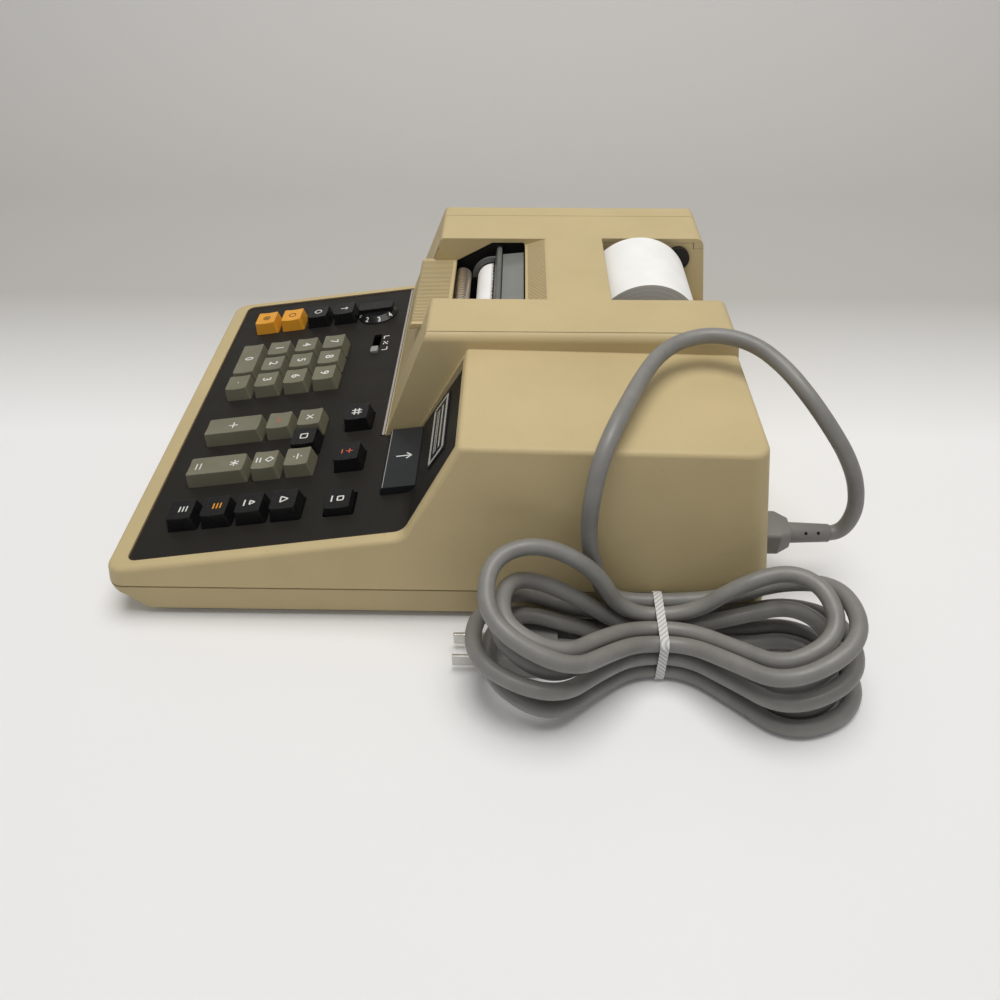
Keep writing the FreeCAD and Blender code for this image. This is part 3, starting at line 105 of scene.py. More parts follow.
class Nodes:
    """A small helper round one material's node tree."""

    def __init__(self, name):
        self.material = bpy.data.materials.new(name)
        self.material.use_nodes = True
        self.tree = self.material.node_tree
        self.shader = self.tree.nodes["Principled BSDF"]
        self.place = self.add("ShaderNodeTexCoord")

    def add(self, kind, **values):
        node = self.tree.nodes.new(kind)
        for name, value in values.items():
            setattr(node, name, value)
        return node

    def link(self, start, end):
        self.tree.links.new(start, end)

    def noise(self, scale, detail, source=None):
        node = self.add("ShaderNodeTexNoise")
        node.inputs["Scale"].default_value = scale
        node.inputs["Detail"].default_value = detail
        self.link(source or self.place.outputs["Object"], node.inputs["Vector"])
        return node.outputs["Fac"]

    def spread(self, value, low, high, out_low=0.0, out_high=1.0):
        node = self.add("ShaderNodeMapRange")
        node.inputs["From Min"].default_value = low
        node.inputs["From Max"].default_value = high
        node.inputs["To Min"].default_value = out_low
        node.inputs["To Max"].default_value = out_high
        self.link(value, node.inputs["Value"])
        return node.outputs["Result"]

    def mix(self, factor, first, second):
        node = self.add("ShaderNodeMix", data_type="RGBA")
        self.link(factor, node.inputs["Factor"])
        for socket, colour in (("A", first), ("B", second)):
            entry = [i for i in node.inputs if i.name == socket and i.type == "RGBA"][0]
            if isinstance(colour, tuple):
                entry.default_value = colour + (1.0,)
            else:
                self.link(colour, entry)
        return [o for o in node.outputs if o.type == "RGBA"][0]

    def colour(self, value):
        self.link(value, self.shader.inputs["Base Color"])

    def bump(self, height, distance, strength, below=None):
        node = self.add("ShaderNodeBump")
        node.inputs["Distance"].default_value = distance
        node.inputs["Strength"].default_value = strength
        self.link(height, node.inputs["Height"])
        if below is not None:
            self.link(below, node.inputs["Normal"])
        return node.outputs["Normal"]

    def soft_edges(self, radius):
        node = self.add("ShaderNodeBevel")
        node.inputs["Radius"].default_value = radius
        return node.outputs["Normal"]

    def from_axis(self, centre):
        """The distance from a line along X through a point."""
        shift = self.add("ShaderNodeVectorMath", operation="SUBTRACT")
        shift.inputs[1].default_value = centre
        self.link(self.place.outputs["Object"], shift.inputs[0])
        flat = self.add("ShaderNodeVectorMath", operation="MULTIPLY")
        flat.inputs[1].default_value = (0.0, 1.0, 1.0)
        self.link(shift.outputs["Vector"], flat.inputs[0])
        length = self.add("ShaderNodeVectorMath", operation="LENGTH")
        self.link(flat.outputs["Vector"], length.inputs[0])
        return length.outputs["Value"]

    def normal(self, value):
        self.link(value, self.shader.inputs["Normal"])


def darker(colour, share):
    return tuple(c * share for c in colour)


def moulded(name, colour, roughness, grain=0.00012, grain_scale=1700.0, stain=0.10, edge=0.0006, gloss=0.3):
    """Moulded plastic: a fine spark-eroded grain, faint cloudy tone changes and slightly soft edges."""
    n = Nodes(name)
    n.shader.inputs["Specular IOR Level"].default_value = gloss
    clouds = n.spread(n.noise(16.0, 4.0), 0.35, 0.70)
    base = n.mix(clouds, colour, darker(colour, 1.0 - stain))
    specks = n.spread(n.noise(420.0, 2.0), 0.70, 0.78, 0.0, 0.22)
    n.colour(n.mix(specks, base, darker(colour, 0.55)))
    shine = n.spread(n.noise(60.0, 3.0), 0.3, 0.7, roughness - 0.05, roughness + 0.07)
    n.link(shine, n.shader.inputs["Roughness"])
    n.normal(n.bump(n.noise(grain_scale, 2.0), grain, 0.6, n.soft_edges(edge)))
    return n.material


def smooth_plastic(name, colour, roughness, edge=0.0005, gloss=0.35):
    """Key plastic: nearly smooth, with handling shine in patches."""
    n = Nodes(name)
    n.shader.inputs["Specular IOR Level"].default_value = gloss
    clouds = n.spread(n.noise(90.0, 3.0), 0.35, 0.7)
    n.colour(n.mix(clouds, colour, darker(colour, 0.88)))
    shine = n.spread(n.noise(140.0, 3.0), 0.3, 0.7, roughness - 0.06, roughness + 0.10)
    n.link(shine, n.shader.inputs["Roughness"])
    n.normal(n.bump(n.noise(3000.0, 2.0), 0.00003, 0.5, n.soft_edges(edge)))
    return n.material


def metal(name, colour, roughness):
    """Bare metal with fine streaks along X."""
    n = Nodes(name)
    n.shader.inputs["Metallic"].default_value = 1.0
    stretch = n.add("ShaderNodeMapping")
    stretch.inputs["Scale"].default_value = (0.05, 1.0, 1.0)
    n.link(n.place.outputs["Object"], stretch.inputs["Vector"])
    lines = n.noise(300.0, 3.0, stretch.outputs["Vector"])
    n.colour(n.mix(n.spread(lines, 0.3, 0.7), colour, darker(colour, 0.85)))
    n.link(n.spread(lines, 0.3, 0.7, roughness - 0.05, roughness + 0.12), n.shader.inputs["Roughness"])
    n.normal(n.bump(lines, 0.00002, 0.4))
    return n.material


def ribbed_metal(name, colour, axis, groove, top):
    """Metal ribs with painted shade in the grooves between them, told apart by their distance from the
    axis.
    """
    n = Nodes(name)
    n.shader.inputs["Metallic"].default_value = 1.0
    height = n.spread(n.from_axis(axis), groove, top)
    # Painted shade: the grooves are coloured nearly black, and the rib tops keep the metal's colour.
    n.colour(n.mix(height, darker(colour, 0.10), colour))
    n.link(n.spread(height, 0.0, 1.0, 0.60, 0.34), n.shader.inputs["Roughness"])
    return n.material


def sheath(name, colour):
    """The lead's flexible sheath: dull, with faint lengthwise rubbing and dirt."""
    n = Nodes(name)
    patches = n.spread(n.noise(70.0, 4.0), 0.35, 0.68)
    base = n.mix(patches, colour, darker(colour, 0.82))
    fine = n.spread(n.noise(900.0, 2.0), 0.62, 0.75, 0.0, 0.35)
    n.colour(n.mix(fine, base, darker(colour, 0.7)))
    n.link(n.spread(n.noise(160.0, 3.0), 0.3, 0.7, 0.36, 0.50), n.shader.inputs["Roughness"])
    n.normal(n.bump(n.noise(1400.0, 2.0), 0.00006, 0.5))
    return n.material


def paper(name, colour, ring_centre=None):
    """Paper; on a roll's end the layers show as fine rings round the roll's axis, on a tone painted darker
    there as shade.
    """
    n = Nodes(name)
    base = n.mix(n.spread(n.noise(60.0, 3.0), 0.35, 0.7), colour, darker(colour, 0.95))
    if ring_centre is not None:
        layers = n.add("ShaderNodeMath", operation="MULTIPLY")
        layers.inputs[1].default_value = 2600.0
        n.link(n.from_axis(ring_centre), layers.inputs[0])
        ripple = n.add("ShaderNodeMath", operation="SINE")
        n.link(layers.outputs["Value"], ripple.inputs[0])
        side = n.add("ShaderNodeSeparateXYZ")
        geometry = n.add("ShaderNodeNewGeometry")
        n.link(geometry.outputs["True Normal"], side.inputs["Vector"])
        size = n.add("ShaderNodeMath", operation="ABSOLUTE")
        n.link(side.outputs["X"], size.inputs[0])
        on_end = n.spread(size.outputs["Value"], 0.5, 0.9)
        # Painted shade: the roll's end is darkened to between 66 and 80 percent of the paper's colour, with
        # the layer rings in it.
        ringed_shaded_end = n.mix(n.spread(ripple.outputs["Value"], -1.0, 1.0, 0.0, 0.6), darker(colour, 0.80),
                       darker(colour, 0.66))
        base = n.mix(on_end, base, ringed_shaded_end)
    n.colour(base)
    n.shader.inputs["Roughness"].default_value = 0.85
    n.normal(n.bump(n.noise(2200.0, 2.0), 0.00002, 0.4))
    return n.material


def twisted(name, colour):
    """A soft tie twisted from strands that run slantwise round it, with painted shade in the grooves
    between the strands.
    """
    n = Nodes(name)
    strands = n.add("ShaderNodeTexWave", bands_direction="DIAGONAL")
    strands.inputs["Scale"].default_value = 260.0
    strands.inputs["Distortion"].default_value = 1.5
    n.link(n.place.outputs["Object"], strands.inputs["Vector"])
    # Painted shade: the low parts of the strand pattern, the grooves, are coloured darker.
    n.colour(n.mix(n.spread(strands.outputs["Fac"], 0.0, 0.6), darker(colour, 0.62), colour))
    n.shader.inputs["Roughness"].default_value = 0.8
    n.normal(n.bump(strands.outputs["Fac"], 0.0004, 0.8))
    return n.material


def smoked(name, colour):
    """Smooth grey plastic of the guide plate."""
    n = Nodes(name)
    n.colour(n.mix(n.spread(n.noise(80.0, 3.0), 0.3, 0.7), colour, darker(colour, 0.9)))
    n.link(n.spread(n.noise(200.0, 2.0), 0.3, 0.7, 0.10, 0.20), n.shader.inputs["Roughness"])
    return n.material


def plug_surface(name, colour, front_y):
    """The plug: grey body, and bare metal on the blades in front of its face."""
    n = Nodes(name)
    along = n.add("ShaderNodeSeparateXYZ")
    n.link(n.place.outputs["Object"], along.inputs["Vector"])
    blade = n.spread(along.outputs["Y"], front_y - 0.0002, front_y, 1.0, 0.0)
    n.colour(n.mix(blade, colour, (0.62, 0.61, 0.58)))
    n.link(blade, n.shader.inputs["Metallic"])
    n.link(n.spread(blade, 0.0, 1.0, 0.42, 0.28), n.shader.inputs["Roughness"])
    n.normal(n.bump(n.noise(1400.0, 2.0), 0.00004, 0.4, n.soft_edges(0.0008)))
    return n.material


# Colours

BEIGE = (0.555, 0.445, 0.240)
PANEL = (0.020, 0.018, 0.015)
BLACK = (0.009, 0.009, 0.0095)
OLIVE = (0.185, 0.175, 0.122)
ORANGE = (0.80, 0.36, 0.030)
CORD = (0.235, 0.228, 0.213)
WHITE = (0.88, 0.875, 0.85)

beige = moulded("beige_case", BEIGE, 0.50)
ink_white = smooth_plastic("ink_white", (0.72, 0.72, 0.68), 0.5, 0.0)
ink_dark = smooth_plastic("ink_dark", (0.05, 0.035, 0.02), 0.5, 0.0)
ink_orange = smooth_plastic("ink_orange", (0.75, 0.30, 0.03), 0.5, 0.0)
ink_red = smooth_plastic("ink_red", (0.60, 0.12, 0.06), 0.5, 0.0)
key_black = smooth_plastic("key_black", BLACK, 0.28, 0.0005, 0.25)
key_olive = smooth_plastic("key_olive", OLIVE, 0.42)
key_orange = smooth_plastic("key_orange", ORANGE, 0.34)
control_dark = smooth_plastic("control_dark", (0.010, 0.010, 0.010), 0.30, 0.0005, 0.3)
feed_dark = smooth_plastic("feed_dark", (0.024, 0.026, 0.028), 0.36, 0.0005, 0.2)
control_grey = smooth_plastic("control_grey", (0.30, 0.30, 0.29), 0.5)
# Silver: the trim strip behind the panel, and the painted highlight on the feed key's front edge.
silver = metal("silver_trim_and_highlight", (0.72, 0.72, 0.70), 0.30)
plate_silver = smooth_plastic("plate_silver", (0.50, 0.50, 0.48), 0.35, 0.0)
steel = metal("plated_steel", (0.50, 0.50, 0.49), 0.34)
brass = metal("brass", (0.66, 0.48, 0.20), 0.30)
# Dark brown: the seam line round the panel, and painted shade in the gap and the slot behind the panel.
seam_dark_and_gap_shade = smooth_plastic("dark_brown", (0.035, 0.018, 0.012), 0.7)
cord_skin = sheath("lead_sheath", CORD)


def dress(material, *names):
    """Puts one material on whole solids."""
    for name in names:
        slots = nodes[name].material_slots
        if len(slots) == 0:
            nodes[name].data.materials.append(material)
        for slot in slots:
            slot.material = material


olive_keys = ["key_%d" % i for i in range(10)]
olive_keys += ["key_point", "key_plus", "key_minus", "key_multiply", "key_divide", "key_subtotal",
               "key_total"]
orange_keys = ["key_clear", "key_clear_entry"]
black_keys = ["key_arrow", "key_sign_entry", "key_hash", "key_constant", "key_sign_change",
              "key_memory_total", "key_memory_subtotal", "key_memory_minus", "key_memory_plus",
              "key_auto_memory"]


def middle_of(low, high):
    return [(a + b) / 2 for a, b in zip(low, high)]


roll_axis = middle_of(*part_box("paper_roll"))
drum_axis = middle_of(*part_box("print_drum"))
drum_groove = (DRUM_RADIUS - 0.5) * MM
drum_top = (DRUM_RADIUS - 0.1) * MM
plug_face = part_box("plug")[0][1] + PLUG_BLADES * MM

dress(beige, "upper_case", "printer_cover")
# Painted shade: the lower case is the same beige made 7 percent darker.
dress(moulded("lower_beige", darker(BEIGE, 0.93), 0.54), "lower_case")
dress(moulded("panel_paint", PANEL, 0.45, grain=0.00005, grain_scale=2600.0, stain=0.12, edge=0.0003,
              gloss=0.15), "keyboard_panel")
dress(key_olive, *olive_keys)
dress(key_orange, *orange_keys)
dress(key_black, *black_keys)
dress(feed_dark, "paper_feed_key")
dress(control_dark, "decimal_dial", "well_boss", "power_inlet", "key_switches")
dress(control_grey, "rounding_switch")
dress(smooth_plastic("plate_black", (0.012, 0.012, 0.013), 0.25), "name_plate")
dress(paper("roll_paper", WHITE, roll_axis), "paper_roll")
dress(smooth_plastic("spindle_grey", (0.10, 0.10, 0.10), 0.5), "roll_spindle")
dress(ribbed_metal("drum_bronze", (0.88, 0.77, 0.64), drum_axis, drum_groove, drum_top), "print_drum")
dress(moulded("platen_black", (0.02, 0.02, 0.02), 0.7), "platen_roller")
dress(steel, "printer_motor", "case_screws")
# Painted shade: the printer frame is coloured near black for the dark inside of the case.
dress(moulded("frame_shade_black", (0.02, 0.02, 0.02), 0.6), "printer_frame")
dress(brass, "motor_pinion")
dress(smooth_plastic("bar_grey", (0.13, 0.135, 0.125), 0.40), "tear_bar")
dress(smoked("guide_grey", (0.20, 0.21, 0.195)), "paper_guide")
dress(moulded("board_green", (0.05, 0.14, 0.06), 0.45), "main_board", "keyboard_board")
dress(moulded("laminations", (0.035, 0.035, 0.038), 0.5), "transformer")
dress(moulded("foot_rubber", (0.02, 0.02, 0.02), 0.8), "rubber_feet")
dress(moulded("connector_grey", CORD, 0.42, grain=0.00004, grain_scale=1500.0, stain=0.12, edge=0.0008),
      "cord_connector")
dress(plug_surface("plug_grey", CORD, plug_face), "plug")
dress(twisted("tie_twist", (0.72, 0.72, 0.70)), "cord_tie")


# Geometry helpers

INK_HEIGHT = 0.06


def piece(name, mesh, material, body):
    """Adds a visible piece that moves with a body."""
    made = bpy.data.objects.new(name, mesh)
    bpy.context.scene.collection.objects.link(made)
    made.data.materials.clear()
    made.data.materials.append(material)
    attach(made, body)
    return made


def body_of(node):
    """The body that a node belongs to."""
    for body, members in frame["record"]["behaviour"]["bodies"].items():
        if node in members:
            return body
    return "case"


def deck_box(node):
    """A node's lowest and highest coordinates in the deck's own frame."""
    back = DECK.inverted()
    points = [back @ v.co for v in nodes[node].data.vertices]
    low = Vector([min(p[i] for p in points) for i in range(3)])
    high = Vector([max(p[i] for p in points) for i in range(3)])
    return low, high


def text_mesh(words, size, weight):
    """A flat raised number."""
    curve = bpy.data.curves.new("words", "FONT")
    curve.body = words
    curve.size = size
    curve.align_x = "CENTER"
    curve.align_y = "CENTER"
    curve.offset = weight
    curve.extrude = INK_HEIGHT / 2 * MM
    carrier = bpy.data.objects.new("words", curve)
    bpy.context.scene.collection.objects.link(carrier)
    bpy.context.view_layer.update()
    mesh = bpy.data.meshes.new_from_object(carrier.evaluated_get(bpy.context.evaluated_depsgraph_get()))
    bpy.data.objects.remove(carrier)
    return mesh


def bar(bm, start, end, width):
    """A flat bar between two points in the plane."""
    start = Vector((start[0], start[1], 0))
    end = Vector((end[0], end[1], 0))
    along = (end - start).normalized()
    side = Vector((-along.y, along.x, 0)) * (width / 2)
    corners = [start - side, end - side, end + side, start + side]
    low = [bm.verts.new(c) for c in corners]
    high = [bm.verts.new(c + Vector((0, 0, INK_HEIGHT * MM))) for c in corners]
    bm.faces.new(low[::-1])
    bm.faces.new(high)
    for i in range(4):
        j = (i + 1) % 4
        bm.faces.new((low[i], low[j], high[j], high[i]))


def mesh_from(bm, name, smooth=False):
    """Turns a bmesh into a mesh."""
    for face in bm.faces:
        face.smooth = smooth
    mesh = bpy.data.meshes.new(name)
    bm.to_mesh(mesh)
    bm.free()
    return mesh


def bars_mesh(segments, width):
    """Flat bars along a list of segments."""
    bm = bmesh.new()
    for start, end in segments:
        bar(bm, start, end, width)
    return mesh_from(bm, "bars")


def surface_of(node, place=Matrix()):
    """A node's surface for casting rays, moved by a matrix."""
    data = nodes[node].data
    corners = [place @ v.co for v in data.vertices]
    return BVHTree.FromPolygons(corners, [p.vertices[:] for p in data.polygons])


def ring_segments(radius, centre=(0.0, 0.0), start=0.0, end=360.0, steps=20):
    """An arc as short segments; the whole ring where no angles are given."""
    points = []
    for i in range(steps + 1):
        angle = math.radians(start + (end - start) * i / steps)
        points.append((centre[0] + radius * math.cos(angle), centre[1] + radius * math.sin(angle)))
    return list(zip(points[:-1], points[1:]))


def loop_segments(points):
    return list(zip(points, points[1:] + points[:1]))


# Legends: plain digits and signs; the signs are drawn in units of SIGN_UNIT

SIGN_UNIT = 1.3 * MM
INK_LIFT = 0.05
BAR_WIDTH = 0.72 * MM
MARK_WIDTH = 0.7 * MM
PLUS = [((-1.7, 0), (1.7, 0)), ((0, -1.7), (0, 1.7))]
MINUS = [((-1.7, 0), (1.7, 0))]
TIMES = [((-1.4, -1.4), (1.4, 1.4)), ((-1.4, 1.4), (1.4, -1.4))]
DIVIDE = MINUS + [((-0.3, 1.5), (0.3, 1.5)), ((-0.3, -1.5), (0.3, -1.5))]
DIAMOND = loop_segments([(0, -1.7), (1.5, 0), (0, 1.7), (-1.5, 0)])
EQUALS = [((-1.5, 0.7), (1.5, 0.7)), ((-1.5, -0.7), (1.5, -0.7))]
THREE_BARS = EQUALS + [((-1.5, 2.1), (1.5, 2.1))]
HASH = [((-1.7, 0.7), (1.7, 0.7)), ((-1.7, -0.7), (1.7, -0.7)),
        ((-0.7, -1.7), (-0.7, 1.7)), ((0.7, -1.7), (0.7, 1.7))]
ARROW = [((0, -1.8), (0, 1.8)), ((0, 1.8), (-1.0, 0.6)), ((0, 1.8), (1.0, 0.6))]
STAR = PLUS[:1] + [((-0.85, -1.5), (0.85, 1.5)), ((-0.85, 1.5), (0.85, -1.5))]
TRIANGLE = loop_segments([(-1.6, -1.3), (1.6, -1.3), (0, 1.6)])
SQUARE = loop_segments([(-1.4, -1.4), (1.4, -1.4), (1.4, 1.4), (-1.4, 1.4)])
CIRCLE = ring_segments(1.6)
DOT = [((-0.35, 0), (0.35, 0))]


def moved(sign, dy, share=1.0):
    """A sign made larger or smaller and moved along the deck."""
    return [tuple((x * share, y * share + dy) for x, y in segment) for segment in sign]


def sign_mesh(sign, width):
    """Flat bars along the lines of a sign."""
    return bars_mesh([tuple((x * SIGN_UNIT, y * SIGN_UNIT) for x, y in segment) for segment in sign], width)


def on_key(node, mesh, material):
    """Lays a legend on the hollow top of a key."""
    low, high = deck_box(node)
    mesh.transform(Matrix.Translation(((low.x + high.x) / 2, (low.y + high.y) / 2, 0)))
    bm = bmesh.new()
    bm.from_mesh(mesh)
    bmesh.ops.triangulate(bm, faces=bm.faces)
    bmesh.ops.subdivide_edges(bm, edges=bm.edges, cuts=3, use_grid_fill=True)
    bm.to_mesh(mesh)
    bm.free()
    skin = surface_of(node, DECK.inverted())
    for vertex in mesh.vertices:
        hit = skin.ray_cast(Vector((vertex.co.x, vertex.co.y, high.z + MM)), Vector((0, 0, -1)))[0]
        vertex.co.z += (hit or high).z + INK_LIFT * MM
    mesh.transform(DECK)
    piece("legend_" + node, mesh, material, body_of(node))


for digit in range(10):
    on_key("key_%d" % digit, text_mesh(str(digit), size=7.2 * MM, weight=0.13 * MM), ink_white)
signs = {"key_plus": moved(PLUS, 0, 1.15), "key_multiply": TIMES, "key_divide": DIVIDE, "key_point": DOT,
         "key_subtotal": moved(EQUALS, -2.6) + moved(DIAMOND, 1.9),
         "key_total": moved(STAR, 7.4, 1.1) + moved(EQUALS, -7.6, 1.25),
         "key_hash": moved(HASH, 0, 1.25), "key_arrow": ARROW, "key_sign_entry": CIRCLE,
         "key_constant": SQUARE, "key_memory_total": TRIANGLE,
         "key_memory_subtotal": moved(TRIANGLE, 1.0, 0.7) + moved(MINUS, -2.0),
         "key_memory_plus": THREE_BARS,
         "key_auto_memory": moved(SQUARE, 0.9, 0.8) + moved(MINUS, -2.4)}
for node, sign in signs.items():
    on_key(node, sign_mesh(sign, BAR_WIDTH), ink_white)
on_key("key_minus", sign_mesh(MINUS, BAR_WIDTH), ink_red)
on_key("key_memory_minus", sign_mesh(THREE_BARS, BAR_WIDTH), ink_orange)
sign_change = moved(PLUS, 1.0, 0.8) + moved(MINUS, -2.0, 0.8)
on_key("key_sign_change", sign_mesh(sign_change, 0.6 * MM), ink_red)
on_key("key_clear", sign_mesh(CIRCLE, 0.6 * MM), ink_dark)
on_key("key_clear_entry", sign_mesh(CIRCLE + moved(TIMES, 0, 0.55), 0.55 * MM), ink_dark)


# Deck details

def on_deck(name, mesh, material, x, y, z, body="case"):
    """Lays a mark on the deck: x across, y up the slope and z above it, in millimetres."""
    mesh.transform(DECK @ Matrix.Translation((x * MM, y * MM, z * MM)))
    piece(name, mesh, material, body)


def dial_details():
    """White digits on the dial's sloping rim, read from outside."""
    low, high = deck_box("decimal_dial")
    centre = Vector(((low.x + high.x) / 2, (low.y + high.y) / 2, 0))
    rim = math.atan2(DIAL_HEIGHT - DIAL_FOOT, DIAL_TAPER)
    radius = DIAL_RADIUS - DIAL_TAPER / 2
    height = (DIAL_HEIGHT + DIAL_FOOT) / 2
    first_angle = -72.0
    angle_step = 42.0
    for i, digit in enumerate("0234"):
        angle = math.radians(first_angle + angle_step * i)
        outward = Vector((math.cos(angle), math.sin(angle), 0))
        ahead = -outward * math.cos(rim) + Vector((0, 0, math.sin(rim)))
        up = outward * math.sin(rim) + Vector((0, 0, math.cos(rim)))
        across = ahead.cross(up)
        turned = Matrix((across, ahead, up)).transposed().to_4x4()
        place = centre + (outward * radius + Vector((0, 0, height)) + up * INK_LIFT) * MM
        mesh = text_mesh(digit, size=4.4 * MM, weight=0.10 * MM)
        mesh.transform(DECK @ Matrix.Translation(place) @ turned)
        piece("dial_digit_%d" % i, mesh, ink_white, "decimal_dial_body")


def switch_marks():
    """Plain marks for down, half and up beside the slide switch."""
    corner = [((-1.2, -1.2), (-1.2, 1.2)), ((-1.2, -1.2), (1.2, -1.2))]
    flipped = [((1.2, 1.2), (1.2, -1.2)), ((1.2, 1.2), (-1.2, 1.2))]
    half = [((-1.4, -1.0), (1.4, 1.0)), ((-1.2, 0.9), (-0.2, 0.9)), ((0.2, -0.9), (1.2, -0.9))]
    for i, (sign, x) in enumerate(((corner, -60.5), (half, -54.0), (flipped, -47.5))):
        on_deck("switch_mark_%d" % i, sign_mesh(sign, MARK_WIDTH), ink_white, x, y=30.4, z=0.02)


def feed_mark():
    """An arrow on the paper feed key and a painted highlight line along its front edge."""
    body = body_of("paper_feed_key")
    arrow = sign_mesh(moved(ARROW, 0, 1.7), MARK_WIDTH)
    half_length = 23.4 * MM
    # Painted highlight: a thin silver bar along the key's front edge.
    edge = bars_mesh([((-half_length, 0), (half_length, 0))], 0.35 * MM)
    on_deck("feed_mark", arrow, ink_white, x=68.0, y=56.0, z=4.22, body=body)
    on_deck("feed_edge_highlight", edge, silver, x=68.3, y=47.55, z=4.20, body=body)


def cross_strip(name, material, front, back, top):
    """A straight strip across the deck, between two distances behind the panel's back edge."""
    left = -122.0
    right = 42.4
    bottom = -1.6
    profile = [(PANEL_BACK + y, z) for y, z in ((front, bottom), (back, bottom), (back, top), (front, top))]
    bm = bmesh.new()
    ends = [[bm.verts.new(Vector((x, y, z)) * MM) for y, z in profile] for x in (left, right)]
    for i in range(4):
        j = (i + 1) % 4
        bm.faces.new((ends[0][i], ends[0][j], ends[1][j], ends[1][i]))
    bm.faces.new(ends[0][::-1])
    bm.faces.new(ends[1])
    bmesh.ops.recalc_face_normals(bm, faces=bm.faces)
    mesh = mesh_from(bm, name)
    mesh.transform(DECK)
    piece(name, mesh, material, "case")


def panel_edge():
    """The bright edge strip behind the panel, with a dark brown strip on each side as painted shade in the
    gap before it and the slot behind it.
    """
    # Painted shade: dark strips lie where the gap and the slot would be in shadow.
    cross_strip("panel_gap_shade", seam_dark_and_gap_shade, 0.05, 0.95, 0.02)
    cross_strip("panel_edge_strip", silver, 0.95, 2.15, 0.15)
    cross_strip("panel_slot_shade", seam_dark_and_gap_shade, 2.15, 2.80, 0.05)


def panel_outline():
    """The dark line round the panel, where it meets the case."""
    back = DECK.inverted()
    corners = [back @ v.co for v in nodes["keyboard_panel"].data.vertices]
    face = [p for p in corners if abs(p.z) < 0.1 * MM]
    front = min(p.y for p in face)
    near = [p for p in face if p.y < front + 8 * MM]
    # The right side of the panel runs further back than the left one
    right_end = max((p for p in face if 44 * MM < p.y < 62 * MM), key=lambda p: p.x)
    left_end = min((p for p in face if 30 * MM < p.y < 42 * MM), key=lambda p: p.x)
    corner = 5 * MM
    inset = 0.45 * MM
    x0 = min(p.x for p in near) + inset
    x1 = max(p.x for p in near) - inset
    y0 = front + inset
    lines = [((x1, y0 + corner), (right_end.x - inset, right_end.y)),
             ((x0, y0 + corner), (left_end.x + inset, left_end.y)), ((x0 + corner, y0), (x1 - corner, y0))]
    lines += ring_segments(corner, (x1 - corner, y0 + corner), 270.0, 360.0, 6)
    lines += ring_segments(corner, (x0 + corner, y0 + corner), 180.0, 270.0, 6)
    on_deck("panel_outline", bars_mesh(lines, 0.9 * MM), seam_dark_and_gap_shade, x=0.0, y=0.0, z=0.01)


def sleeve_holes():
    """Two small dark discs on the side of the connector's sleeve, painted shade where its moulded holes
    are.
    """
    outside = 130.0
    height = 36.0
    skin = surface_of("cord_connector")
    for i, y in enumerate((178.0, 184.0)):
        hit, normal = skin.ray_cast(Vector((outside, y, height)) * MM, Vector((-1, 0, 0)))[:2]
        # Painted shade: a flat dark disc stands in for the dark inside of each hole.
        bm = bmesh.new()
        bmesh.ops.create_circle(bm, cap_ends=True, segments=16, radius=0.8 * MM)
        mesh = mesh_from(bm, "sleeve_hole")
        facing = normal.to_track_quat("Z", "Y").to_matrix().to_4x4()
        mesh.transform(Matrix.Translation(hit + normal * 0.03 * MM) @ facing)
        piece("sleeve_hole_%d" % i, mesh, control_dark, "case")


def plate_border():
    """A silver border and three plain silver lines on the black plate."""
    centre = middle_of(*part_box("name_plate"))
    lift = Matrix.Translation((0, 0, 0.42 * MM))
    place = Matrix.Translation(centre) @ Matrix.Rotation(FASCIA, 4, "X") @ lift
    right = 21.4 * MM
    top = 6.4 * MM
    rim = loop_segments([(-right, -top), (right, -top), (right, top), (-right, top)])
    mesh = bars_mesh(rim, 1.7 * MM)
    mesh.transform(place)
    piece("plate_border", mesh, plate_silver, "case")
    end = 17 * MM
    for i, (height, width) in enumerate(((2.2, 1.3), (-1.2, 0.6), (-2.8, 0.6))):
        mesh = bars_mesh([((-end, height * MM), (end, height * MM))], width * MM)
        mesh.transform(place)
        piece("plate_line_%d" % i, mesh, plate_silver, "case")


dial_details()
switch_marks()
feed_mark()
panel_edge()
panel_outline()
sleeve_holes()
plate_border()


# Paper strip with a torn end

